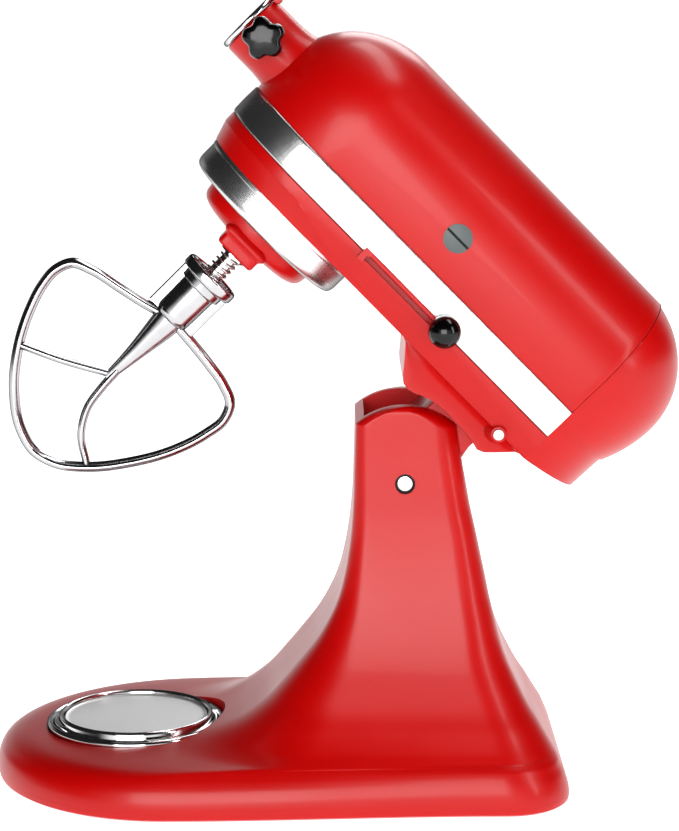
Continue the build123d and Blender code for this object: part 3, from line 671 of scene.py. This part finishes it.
    def build(self) -> None:
        """Casting with its mouth for the head's lug and the hole for the pin."""
        skin = Patch(self.outline(self.rings()), True, True, True)
        body = make_object("pedestal_casting", [skin], Space.ROW)
        mouth = [(18, 240), (18, 172), (71, 172), (71, 190), (110, 190), (110, 240)]
        side = rounded(mouth + mouth[:1], [0, 3, 3, 3, 3, 3, 0])
        opening = make_object("mouth_cutter", [extruded(side[:-1], -self.mouth, self.mouth, 0.01)], Space.ROW)
        hole = np.asarray([(0, -60), (5.9, -60), (5.9, 60), (0, 60)], float)
        bore = make_object("pin_cutter", [lathe(hole, (HINGE[0], 0, HINGE[1]), 1, 48)], Space.ROW)
        seat = np.asarray([(0, 27.9), (54.6, 27.9), (54.6, 60), (0, 60)], float)
        pocket = make_object("plate_cutter", [lathe(seat, (-121.0, 0, 0), 2, 128)], Space.ROW)
        cut(body, [opening, bore, pocket])
        self.finish(body, "base", "red_enamel", ("pedestal",))
        for side_sign in (-1, 1):
            # Painted shade: on each side a near-black ring fills the gap between the pin and its hole,
            # standing in for the shade in that gap.
            collar = rounded(
                [(4.9, 32), (5.9, 32), (5.9, 43.2), (4.9, 43.2), (4.9, 32)], [0, 0.2, 0.3, 0.2, 0])
            collar[:, 1] *= side_sign
            gap_shade_skin = Patch(lathe(collar, (HINGE[0], 0, HINGE[1]), 1, 48).points)
            ring = make_object(f"pin_gap_painted_shade_{SIDES[side_sign]}", [gap_shade_skin], Space.ROW)
            self.finish(ring, "base", "black_rubber", (), "shadow")
        pin = rounded([(0, -43.0), (4.75, -43.0), (4.75, 43.0), (0, 43.0)], [0, 0.8, 0.8, 0])
        rod = make_object("hinge_pin_polished", [lathe(pin, (HINGE[0], 0, HINGE[1]), 1, 48)], Space.ROW)
        self.finish(rod, "base", "polished_steel", ("hinge_pin",))


@dataclass
class BowlPlate(Part):
    """Clamp plate: a bright rim, a groove with locking lugs, a raised lip and a satin disc."""

    centre: tuple[float, float, float] = (-121.0, 0.0, 0.0)

    def build(self) -> None:
        """Turned ring, four lugs and the disc."""
        profile = rounded(
            [(39, 28), (54, 28), (54.4, 31.4), (52.6, 33.0), (50.6, 32.4), (49.4, 30.6), (47.6, 30.6),
             (46.8, 35.4), (45.2, 36.5), (43.6, 35.4), (43.4, 32.6), (39, 32.6), (39, 28)],
            [0, 0.4, 1.2, 1.2, 1.0, 0.8, 0.8, 1.0, 0.9, 1.0, 0.6, 0.5, 0], 5)
        ring = Patch(lathe(profile, self.centre, 2, 160).points)
        patches = [ring]
        for k in range(4):
            turn = np.radians(20 + 90 * k + np.linspace(-8, 8, 14))[None, :]
            r = np.asarray([46.9, 47.4, 50.2, 50.6, 50.6, 46.9])[:, None]
            h = np.asarray([33.0, 33.6, 33.4, 32.6, 30.8, 30.8])[:, None]
            lug = np.stack([self.centre[0] + r * np.cos(turn), r * np.sin(turn), h + 0 * turn], -1)
            patches.append(Patch(lug, False, True, True, True))
        piece = make_object("bowl_plate_ring", patches, Space.ROW)
        self.finish(piece, "base", "polished_steel", ("bowl_clamp_plate",))
        face = rounded(
            [(0, 33.3), (41.6, 33.3), (43.2, 34.0), (43.2, 32.7), (0, 32.7)], [0, 1.5, 0.3, 0.3, 0], 5)
        disc = make_object("bowl_plate_face", [lathe(face, self.centre, 2, 160)], Space.ROW)
        self.finish(disc, "base", "satin_aluminium", ("clamp_plate_disc",))


# ---------------------------------------------------------------- head


@dataclass
class HeadShell(Part):
    """Head castings. Their plan is a line from the front centre to the rear one, with a radius all round."""

    radius: float = 60.0
    front: float = PLANET_U
    rear: float = 25.2
    seam: float = 35.0
    widest: float = 123.0
    rise: float = 56.3
    across: int = 49
    bend: int = 61

    def front_run(self, last: float) -> tuple[Array, Array]:
        """Centre points and outward directions from one seam end, round the front, to the other seam end.

        Args:
            last: where the run ends towards the rear.

        Returns:
            Centre u of each column, and its outward direction in plan.
        """
        side = last + (self.front - last) * np.linspace(0, 1, self.across)
        turn = math.pi * 1.5 - math.pi * np.linspace(0, 1, self.bend)
        u = np.concatenate([side, np.full(self.bend, self.front)[1:-1], side[::-1]])
        flat = np.full(self.across, 1.0)
        nx = np.concatenate([0 * flat, np.cos(turn)[1:-1], 0 * flat])
        ny = np.concatenate([-flat, np.sin(turn)[1:-1], flat])
        return u, np.stack([nx, ny], -1)

    def rear_run(self) -> tuple[Array, Array]:
        """Centre points and outward directions from the seam, round the rear, to the seam on the other side.

        Returns:
            Centre u of each column, and its outward direction in plan.
        """
        start = math.asin((self.seam - self.rear) / self.radius)
        turn = np.linspace(-math.pi / 2 + start, math.pi / 2 - start, self.bend)
        return np.full(self.bend, self.rear), np.stack([np.cos(turn), np.sin(turn)], -1)

    def ring(self, u: Array, out: Array, rho: Array, w: Array) -> Array:
        """Rows of points at distance rho from the centre line and height w.

        Args:
            u: centre of each column.
            out: outward direction of each column.
            rho: distance, rows by columns or one column.
            w: height, rows by columns or one column.

        Returns:
            Rows by columns by u, y, w.
        """
        rho, w, u = np.broadcast_arrays(np.asarray(rho, float), np.asarray(w, float), u[None, :])
        return np.stack([u + rho * out[:, 0], rho * out[:, 1], w], -1)

    def roof(self, inset: float, low: float) -> Array:
        """Section from the lower edge, up the side and over the elliptical roof to the ridge.

        Args:
            inset: how far it lies inside the outer skin.
            low: height of the lower edge.

        Returns:
            Radius and height pairs.
        """
        bend = np.radians(np.linspace(0, 90, 40))
        r = self.radius - inset
        arch = np.stack([r * np.cos(bend), self.widest + (self.rise - inset) * np.sin(bend)], -1)
        arch[-1, 0] = 0.0
        edge = np.asarray([(r - 3.0, low), (r - 0.7, low), (r - 0.2, low + 0.25), (r, low + 0.9)])
        return np.concatenate([edge, arch])

    def housing(self) -> None:
        """Motor housing: the roof carried round the front, a rolled seam edge, a hub snout and bosses."""
        section = self.roof(0.0, 99.3)
        u, out = self.front_run(self.seam - 0.9)
        body = self.ring(u, out, section[:, :1], section[:, 1:])
        edges = []
        for inset, where in ((6.0, self.seam - 0.1), (1.0, self.seam - 0.1), (0.3, self.seam - 0.35)):
            rim = self.roof(inset, 99.3 + inset * 0.6)
            for side in (-1, 1):
                out_way = np.asarray([[0.0, side]])
                edges.append((side, self.ring(np.asarray([where]), out_way, rim[:, :1], rim[:, 1:])))
        start = np.concatenate([e for s, e in edges if s < 0], axis=1)
        stop = np.concatenate([e for s, e in reversed(edges) if s > 0], axis=1)
        shell = Patch(np.concatenate([start, body, stop], axis=1), False)
        inner = self.roof(6.0, 99.3)
        lining = Patch(self.ring(u, out, inner[:, :1], inner[:, 1:]), False)
        patches = [shell, lining, self.snout(), self.knob_boss()]
        for side in (-1, 1):
            ear = rounded([(0, 5.8), (2.6, 5.8), (2.6, 11.8), (0, 11.8)], [0, 0.5, 0.5, 0], 4)
            ear[:, 1] *= side
            patches.append(lathe(ear, (-250.6, 0, 143.0), 1, 24))
        piece = make_object("motor_housing_shell", patches, Space.HEAD)
        self.finish(piece, "head", "red_enamel", ("motor_housing",))

    def snout(self) -> Patch:
        """Hub snout turned about the head's axis, with a flared foot and a rounded rim."""
        profile = rounded(
            [(17.2, -205), (27, -205), (21.4, -218), (19.7, -229), (19.6, -250.6), (18.6, -251.5),
             (17.2, -251.5), (17.2, -205)],
            [0, 2, 7, 5, 1.0, 0.5, 0.3, 0], 6)
        return Patch(lathe(profile, (0, 0, HUB_W), 0, 96).points)

    def knob_boss(self) -> Patch:
        """Boss on the snout's side that the thumb screw goes through."""
        profile = rounded([(0, -8), (9.5, -12), (7.6, -19), (6.6, -24.4), (0, -24.4)], [0, 2, 2, 0.8, 0], 5)
        return lathe(profile, (-240.0, 0, HUB_W), 1, 48)

    def cover(self) -> None:
        """Rear cover: the roof turned round the rear like the end of an egg, over a wedge-shaped tail.

        The egg draws in by k (widest - w)^2 below its widest line. The tail is a nearly upright wall.
        """
        u, out = self.rear_run()
        share = (np.clip(out[:, 0], 0, 1) ** 1.5)[None, :]
        crease, step = 90.0, 0.9
        high = np.linspace(crease, self.widest, 24)[:, None]
        egg = self.radius - 0.0067 * (self.widest - high) ** 2 * share
        tail_w = np.asarray([66.5, 74.0, 82.0, 88.0, 90.0, 90.7])[:, None]
        tail = self.radius - step - np.asarray([8.1, 8.0, 7.8, 7.5, 7.3, 7.2])[:, None] * share
        x = u + tail[0] * out[:, 0]
        low_w = 61.0 + 5.4 * np.clip((x - 36) / 38, 0, 1)[None, :]
        tail_w = low_w + (tail_w - 66.5) / (90.7 - 66.5) * (crease - low_w)
        bend = np.radians(np.linspace(0, 90, 40))[1:, None]
        rows_r = [0 * low_w, tail[:1] - 1.2, tail[:1] - 0.3, tail, egg,
                  self.radius * np.cos(bend) + 0 * low_w]
        rows_w = [low_w, low_w, low_w + 0.1, tail_w + 0.5 * (tail_w < low_w + 0.1), high + 0 * low_w,
                  self.widest + self.rise * np.sin(bend) + 0 * low_w]
        rho, w = np.concatenate(rows_r), np.concatenate(rows_w)
        rho[-1] = 0.0
        points = self.ring(u, out, rho, w)
        points[..., 0] = np.maximum(points[..., 0], self.seam + 0.15)
        piece = make_object("rear_cover_shell", [Patch(points, False, True, True)], Space.HEAD)
        seat = np.asarray([(0, 82.0), (5.2, 82.0), (5.2, 95.0), (0, 95.0)], float)
        pocket = make_object("screw_seat_cutter", [lathe(seat, (0, 0, HUB_W), 0, 48)], Space.HEAD)
        cut(piece, [pocket], 30.0)
        self.finish(piece, "head", "red_enamel", ("rear_cover",))

    def casing(self) -> None:
        """Lower casing: side wall, drawn-in lower edge, and the neck between the column's cheeks."""
        u, out = self.front_run(self.seam)
        one = np.ones((1, len(u)))
        upper = np.interp(u, [-163, -161, -112, -38, 35], [72.8, 72.6, 75.6, 75.6, 71.2])[None, :]
        lower = np.interp(u, [-163, -130, -64, 35], [72.3, 65.6, 62.4, 62.4])[None, :]
        facet_r = 60.0 - 0.13 * (upper - lower)
        foot_r = np.interp(u, [-163, -130, -64, 35], [56.4, 57.2, 57.6, 57.6])[None, :]
        neck = through(
            np.clip(u, -66, 35), [-66, -62, -55, -42, -36, -28, -18, -7, 5.5, 14, 24, 33, 36],
            [61, 60.4, 53.5, 40.6, 41.2, 44.8, 46.8, 46.6, 43.9, 43.0, 51.5, 60.4, 61])[None, :]
        neck = np.where(u[None, :] < -64, 61.0, np.minimum(neck, 61.0))
        neck = np.maximum(neck, np.sqrt(np.maximum(46.6**2 - u**2, 0.0))[None, :])
        drop = np.linspace(0, 1, 16)[:, None]
        flare = foot_r - (foot_r - 45.5) * (1 - (1 - drop) ** 2)
        rows_r = [55 * one, 58 * one, 59.6 * one, 60 * one, 60 * one, 60 * one - 0.15,
                  facet_r + 0.1, facet_r - 0.15, flare, 44.6 * one, 42 * one, 0 * one]
        rows_w = [79.2 * one, 79.3 * one, 79.2 * one, 78.7 * one, upper + 0.3, upper - 0.3,
                  lower + 0.3, lower - 0.2, 61 - (61 - neck) * drop**1.8, neck - 0.2, neck - 0.2, neck - 0.2]
        points = self.ring(u, out, np.concatenate(rows_r), np.concatenate(rows_w))
        body = make_object("lower_casing_shell", [Patch(points, False, True, True)], Space.HEAD)
        slot = np.asarray([(-112, 76.2), (-45.4, 76.2), (-45.4, 79.25), (-112, 79.25)], float)
        cutters = [make_object("slot_cutter", [extruded(slot, -70.0, -54.0, 0.01)], Space.HEAD)]
        seat = np.asarray([(0, 50.0), (4.3, 50.0), (4.3, 61.7), (0, 61.7)], float)
        for side in (-1, 1):
            pit = lathe(seat, (-92.0, side * 47.0, 0), 2, 32)
            cutters.append(make_object(f"screw_cutter_{SIDES[side]}", [pit], Space.HEAD))
        cut(body, cutters, 26.0)
        self.finish(body, "head", "red_enamel", ("lower_casing",))
        lug = make_object("hinge_lug_cast", [self.lug(), *self.lock_bosses()], Space.HEAD)
        self.finish(lug, "head", "red_enamel", ())

    def lug(self) -> Patch:
        """Hinge lug: a side outline between the cheeks, rounded about the pin.

        Returns:
            The lug's patch.
        """
        boss = np.radians(np.linspace(200, 340, 19))
        arc = [(11.2 * math.cos(a), 11.2 * math.sin(a)) for a in boss]
        outline = [(-21, 53.5), (-21.5, 24.5), (-12.5, 22.5), *arc, (14.8, 30.0), (12.8, 40.2), (12.8, 53.5)]
        return extruded(np.asarray(outline, float), -30.0, 30.0, 0.8)

    def lock_bosses(self) -> list[Patch]:
        """Round bosses that carry the lock shaft on both sides.

        Returns:
            One patch for each side.
        """
        out = []
        for side in (-1, 1):
            profile = rounded([(0, 40), (8.0, 47), (5.4, 55), (4.6, 61.0), (0, 61.0)], [0, 2, 3, 0.8, 0], 5)
            profile[:, 1] *= side
            out.append(lathe(profile, (14.0, 0, 60.5), 1, 40))
        return out

    def band(self) -> None:
        """Trim band between the castings: a slightly crowned strip with rolled edges."""
        u, out = self.front_run(self.seam - 0.4)
        section = rounded(
            [(57.9, 79.6), (60.2, 79.6), (60.8, 80.6), (61.1, 89.4), (60.8, 98.2), (60.2, 99.1),
             (57.9, 99.1)],
            [0, 0.4, 0.8, 8, 0.8, 0.4, 0], 5)
        strip = Patch(self.ring(u, out, section[:, :1], section[:, 1:]), False, True, True, True)
        piece = make_object("trim_band_strip", [strip], Space.HEAD)
        self.finish(piece, "head", "polished_steel", ("trim_band",), "trim")

    def build(self) -> None:
        """All castings of the head."""
        self.housing()
        self.cover()
        self.casing()
        self.band()


@dataclass
class FrontFittings(Part):
    """Drip ring, hub cap and thumb screw at the front of the head."""

    def drip_ring(self) -> None:
        """Bright ring under the front of the head, with a rolled lower lip."""
        profile = rounded(
            [(53.5, 60.9), (55.6, 60.9), (55.7, 58.6), (55.2, 57.8), (55.2, 47.0), (54.0, 43.6),
             (50.6, 42.6), (42.6, 42.6), (41.2, 43.4), (41.2, 46), (53.5, 46), (53.5, 60.9)],
            [0, 0.5, 0.6, 0.6, 2.4, 2.0, 2.0, 0.8, 0.8, 0.5, 0.5, 0], 6)
        skin = Patch(lathe(profile, (PLANET_U, 0, 0), 2, 144).points)
        ring = make_object("drip_ring_bright", [skin], Space.HEAD)
        self.finish(ring, "head", "polished_steel", ("drip_ring",), "trim")

    def hub_cap(self) -> None:
        """Flip cover of the hub: a dished disc with a rolled rim, and its knuckle."""
        profile = rounded(
            [(0, -251.8), (19.4, -251.8), (20.2, -252.8), (20.0, -254.6), (18.8, -255.3), (17.4, -254.9),
             (16.0, -254.2), (0, -254.0)],
            [0, 0.3, 0.6, 0.8, 0.8, 0.8, 1.0, 0], 5)
        knuckle = rounded([(0, -5.5), (2.4, -5.5), (2.4, 5.5), (0, 5.5)], [0, 0.4, 0.4, 0], 4)
        patches = [lathe(profile, (0, 0, HUB_W), 0, 96), lathe(knuckle, (-251.0, 0, 143.2), 1, 24)]
        cap = make_object("hub_cap_chrome", patches, Space.HEAD)
        self.finish(cap, "hub_flap", "polished_steel", ("hub_cover",))

    def thumb_screw(self) -> None:
        """Five-lobed grip: the rim is a circle with five round scoops, each deepest where cos 5a = -1."""
        turn = np.linspace(0, 2 * math.pi, 160, endpoint=False)[None, :]
        scoop = (0.5 - 0.5 * np.cos(5 * turn)) ** 1.6
        section = rounded(
            [(0.0, -25.6), (0.58, -25.6), (0.66, -27.6), (1.0, -29.4), (1.0, -36.4), (0.84, -40.2),
             (0.0, -41.4)],
            [0, 0.1, 0.4, 1.0, 2.0, 4.0, 0], 8)
        scale, y = section[:, :1], section[:, 1:]
        depth = np.clip((scale - 0.3) / 0.7, 0, 1)
        r = scale * (12.6 - 2.6 * scoop * depth)
        points = np.stack([-240.0 + r * np.cos(turn), y + 0 * turn, HUB_W + r * np.sin(turn)], -1)
        knob = make_object("hub_thumb_screw_grip", [Patch(points)], Space.HEAD, 60)
        self.finish(knob, "hub_screw", "black_gloss_plastic", ("hub_knob",))

    def build(self) -> None:
        """All front fittings."""
        self.drip_ring()
        self.hub_cap()
        self.thumb_screw()


@dataclass
class Controls(Part):
    """Speed lever's ball grip and the caps over the motor brushes."""

    def ball(self) -> None:
        """Ball grip, flat where it faces the head."""
        a = np.radians(np.linspace(-43.7, 90, 30))
        round_part = np.stack([9.4 * np.cos(a), -72.0 - 9.4 * np.sin(a)], -1)
        round_part[-1, 0] = 0.0
        back = np.asarray([(0.0, -65.6), (6.2, -65.6)])
        skin = lathe(np.concatenate([back, round_part]), (-51.5, 0, 80.5), 1, 64)
        grip = make_object("speed_ball_grip", [skin], Space.HEAD)
        self.finish(grip, "speed_control", "black_gloss_plastic", ("speed_knob",))

    def caps(self) -> None:
        """Slotted caps: a low dome with a groove along the head, with painted shade inside the groove."""
        patches = []
        for side in (-1, 1):
            for lift in (-1, 1):
                x = np.linspace(-1, 1, 41)[None, :]
                t = np.linspace(0, 1, 13)[:, None]
                low = 0.75
                reach = np.sqrt(np.maximum(8.4**2 - (x * 8.36) ** 2, 0.0))
                h = low + (np.maximum(reach, low) - low) * t
                y = 61.4 - 0.9 * ((x * 8.36) ** 2 + h**2) / 8.4**2
                top = np.stack([x * 8.36 + 0 * h, side * y, lift * h], -1)
                base = top.copy()
                base[..., 1] = side * 57.0
                points = np.concatenate([top, base[::-1]], axis=0) + np.asarray([-83.0, 0, HUB_W])
                patches.append(Patch(points, False, True, True, True))
            # Painted shade: a near-black disc just under each cap's dome fills the groove, standing in for
            # the shade inside it.
            dark = rounded([(0, 60.25), (8.3, 60.25), (8.3, 57.0), (0, 57.0)], [0, 0.1, 0.1, 0], 3)
            dark[:, 1] *= side
            pit = lathe(dark, (-83.0, 0, HUB_W), 1, 64)
            groove = make_object(f"brush_cap_painted_shade_{SIDES[side]}", [pit], Space.HEAD)
            self.finish(groove, "head", "grey_plastic", (), "shadow")
        caps = make_object("brush_cap_domes", patches, Space.HEAD)
        self.finish(caps, "head", "grey_plastic", ("brush_caps",))

    def build(self) -> None:
        """Grip and caps."""
        self.ball()
        self.caps()


@dataclass
class Drive(Part):
    """Planetary in red enamel, the spring on the agitator shaft and the flat beater."""

    def planetary(self) -> None:
        """Turned carrier with a rounded rim, and the block that houses the agitator shaft."""
        disc = rounded(
            [(0, 30.0), (31.0, 30.0), (38.6, 33.4), (39.4, 42.0), (38.6, 44.6), (9.0, 44.6), (9.0, 57.0),
             (0, 57.0)],
            [0, 5.0, 5.5, 2.0, 1.0, 1.0, 0.6, 0], 8)
        turn = np.linspace(0, 2 * math.pi, 80, endpoint=False)[None, :]
        c, s = np.cos(turn), np.sin(turn)
        r = 13.2 / (np.abs(c) ** 9 + np.abs(s) ** 9) ** (1 / 9)
        rise = rounded(
            [(0.0, 22.5), (0.93, 22.5), (1.0, 23.6), (1.0, 29.2), (1.24, 32.4), (0.9, 36.0)],
            [0, 0.1, 0.7, 1.2, 1.6, 0], 8)
        k, h = rise[:, :1], rise[:, 1:]
        block = np.stack([AGITATOR[0] + k * r * c, AGITATOR[1] + 1.5 + k * r * s, h + 0 * r], -1)
        patches = [lathe(disc, (PLANET_U, 0, 0), 2, 128), Patch(block, True, False, True)]
        piece = make_object("planetary_carrier_cast", patches, Space.HEAD)
        self.finish(piece, "planetary", "red_enamel", ("planetary_carrier",))

    def spring(self) -> None:
        """Helix of round wire: the angle rises evenly and the end turns lie flat."""
        turns, steps = 5.5, 300
        t = np.linspace(0, 1, steps)
        angle = t * turns * 2 * math.pi
        climb = 3.6 + 16.6 * np.clip((t - 0.08) / 0.84, 0, 1)
        centre = np.stack([5.9 * np.cos(angle), 5.9 * np.sin(angle), climb], -1)
        out = np.stack([np.cos(angle), np.sin(angle), 0 * angle], -1)
        ring = np.linspace(0, 2 * math.pi, 10, endpoint=False)
        up = np.asarray([0.0, 0.0, 1.0])
        section = np.cos(ring)[None, :, None] * out[:, None] + np.sin(ring)[None, :, None] * up
        points = centre[:, None] + 0.7 * section
        coil = make_object("beater_spring_wire", [Patch(points, True, True, True)], Space.BEATER)
        self.finish(coil, "agitator", "polished_steel", ("beater_spring",))
        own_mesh(coil)

    def beater(self) -> None:
        """Frame bars with a ridged section, a tapering spine, and the barrel and collar round the shaft."""
        loop = along(
            [(-3, -31), (-15.6, -34.6), (-33, -38.5), (-51.4, -42.6), (-62.6, -48), (-66.6, -58),
             (-65.7, -69.6), (-61.2, -84.2), (-49.3, -107.4), (-34.3, -125.9), (-15.7, -139.6),
             (-1.5, -143.6), (13.5, -139.6), (28, -128), (43.8, -108), (56, -86.3), (63.2, -64),
             (64.6, -51), (60, -41), (50, -36.4), (34.6, -33.6), (16.3, -31.6), (3, -30.6)], 220)
        bars = [sweep(loop, np.full(220, 3.1), np.full(220, 4.8), 1.25, 24)]
        left = along([(-51.5, -104.5), (-27, -93), (-3, -79.5)], 40)
        right = along([(0, -74), (0.8, -88), (3.4, -103), (12, -117), (27, -127.5)], 60)
        bars.append(sweep(left, np.full(40, 2.4), np.full(40, 3.6), 1.25))
        bars.append(sweep(right, np.linspace(2.6, 2.2, 60), np.linspace(3.8, 3.4, 60), 1.2))
        spine = along([(0, -26), (0, -45), (-0.3, -62), (-1.2, -81.5)], 50)
        taper = through(np.linspace(0, 1, 50), [0, 0.2, 0.5, 0.8, 1.0], [9.6, 8.4, 6.0, 3.9, 2.9])
        bars.append(sweep(spine, taper, taper * 0.92, 0.9, 32))
        plate = np.stack([np.zeros(24), np.linspace(-30.5, -1.2, 24)], -1)
        bars.append(sweep(plate, np.full(24, 16.8), np.full(24, 2.3), 0.28, 48))
        barrel = rounded(
            [(0, -31.5), (9.0, -31.5), (11.2, -28.5), (11.6, -8), (11.6, -6.4), (13.6, -6.0), (13.8, -1.2),
             (17.0, -0.9), (17.9, 0.2), (17.9, 4.4), (17.2, 5.7), (15.8, 5.7), (15.2, 4.8), (15.2, 1.4),
             (5.2, 1.4), (5.2, -20), (0, -20)],
            [0, 2, 1.5, 1, 0.5, 0.8, 0.8, 0.8, 0.8, 0.8, 0.7, 0.5, 0.5, 0.6, 0.4, 1, 0], 5)
        bars.append(lathe(barrel, (0, 0, 0), 2, 96))
        piece = make_object("flat_beater_cast", bars, Space.BEATER, 45)
        self.finish(piece, "beater", "burnished_aluminium", ("flat_beater",))

    def build(self) -> None:
        """Planetary, spring and beater."""
        self.planetary()
        self.spring()
        self.beater()


# ---------------------------------------------------------------- studio


@dataclass
class Studio:
    """Pale floor, soft light and the camera."""

    camera_at: tuple[float, float, float] = (0.0037, -1.3603, 0.4522)
    pitch: float = 9.7
    lens: float = 99.64

    def camera(self) -> None:
        """Long lens from the side, looking a little down."""
        data = bpy.data.cameras.new("camera")
        data.lens, data.sensor_width = self.lens, 36.0
        eye = bpy.data.objects.new("camera", data)
        eye.location = self.camera_at
        eye.rotation_euler = (math.radians(90 - self.pitch), 0.0, 0.0)
        bpy.context.scene.collection.objects.link(eye)
        bpy.context.scene.camera = eye

    def floor(self) -> None:
        """Wide disc of matt white that glows enough to hide its far edge."""
        profile = np.asarray([(0.0, -4.0), (9000.0, -4.0), (9000.0, 0.0), (0.0, 0.0)])
        disc = make_object("floor", [lathe(profile, (0, 0, 0), 2, 96)], Space.ROW)
        material = bpy.data.materials.new("matt_white_floor")
        material.use_nodes = True
        tree = material.node_tree
        shader = tree.nodes["Principled BSDF"]
        coords = add(tree, "ShaderNodeTexCoord", {}).outputs["Object"]
        noise = add(tree, "ShaderNodeTexNoise", {"Vector": coords, "Scale": 3.0})
        low, high = linear("#dcdcdc"), linear("#e2e2e2")
        tone = add(tree, "ShaderNodeMix", {0: noise.outputs["Fac"], 6: low, 7: high}, data_type="RGBA")
        tree.links.new(tone.outputs[2], shader.inputs["Base Color"])
        tree.links.new(tone.outputs[2], shader.inputs["Emission Color"])
        shader.inputs["Emission Strength"].default_value = 1.36
        shader.inputs["Roughness"].default_value = 0.9
        disc.data.materials.append(material)

    def lamp(
        self, name: str, at: tuple[float, float, float], size: tuple[float, float], power: float
    ) -> None:
        """A soft box that looks at the middle of the object.

        Args:
            name: name of the lamp.
            at: its place in metres.
            size: width and height in metres.
            power: watts.
        """
        data = bpy.data.lights.new(name, "AREA")
        data.shape, data.size, data.size_y, data.energy = "RECTANGLE", size[0], size[1], power
        lamp = bpy.data.objects.new(name, data)
        lamp.location = at
        aim = np.asarray([0.0, 0.0, 0.22]) - np.asarray(at)
        level = math.hypot(aim[0], aim[1])
        lamp.rotation_euler = (math.atan2(level, -aim[2]), 0.0, math.atan2(-aim[0], aim[1]))
        bpy.context.scene.collection.objects.link(lamp)

    def build(self) -> None:
        """Camera, floor, sky and soft boxes."""
        self.camera()
        self.floor()
        world = bpy.data.worlds.new("studio")
        bpy.context.scene.world = world
        world.use_nodes = True
        tree = world.node_tree
        toward = add(tree, "ShaderNodeTexCoord", {}).outputs["Generated"]
        parts = add(tree, "ShaderNodeSeparateXYZ", {"Vector": toward})
        side = add(tree, "ShaderNodeMath", {0: parts.outputs["X"]}, operation="ABSOLUTE")
        ease = "SMOOTHSTEP"
        shade = add(tree, "ShaderNodeMapRange", {"Value": side.outputs[0], "From Min": 0.5, "From Max": 0.8},
                    interpolation_type=ease)
        height = parts.outputs["Z"]
        lift = add(tree, "ShaderNodeMapRange", {"Value": height, "From Min": 0.12, "From Max": 0.45},
                   interpolation_type=ease)
        dark = add(tree, "ShaderNodeMath", {0: shade.outputs[0], 1: lift.outputs[0]}, operation="MAXIMUM")
        pale, deep = linear("#ffffff"), linear("#202020")
        sky = add(tree, "ShaderNodeMix", {0: dark.outputs[0], 6: pale, 7: deep}, data_type="RGBA")
        background = tree.nodes["Background"]
        tree.links.new(sky.outputs[2], background.inputs["Color"])
        background.inputs["Strength"].default_value = 1.05
        self.lamp("front", (-0.3, -2.6, 0.75), (1.8, 1.3), 48.0)
        self.lamp("top", (0.5, 0.35, 1.7), (1.5, 0.35), 10.0)
        self.lamp("side", (1.5, -0.9, 0.8), (0.25, 1.2), 8.0)
        self.lamp("back", (0.6, 2.6, 1.9), (1.6, 1.0), 26.0)
        bpy.context.scene.view_settings.view_transform = "Standard"


def main() -> None:
    """Dresses the frame's nodes, then builds each sub-assembly and the studio."""
    logging.basicConfig(level=logging.INFO, format="%(name)s %(message)s")
    palette = Palette()
    palette.dress_nodes()
    for kind in (Pedestal, BowlPlate, HeadShell, FrontFittings, Controls, Drive):
        kind(palette).build()
    Studio().build()


if __name__ == "__main__":
    main()
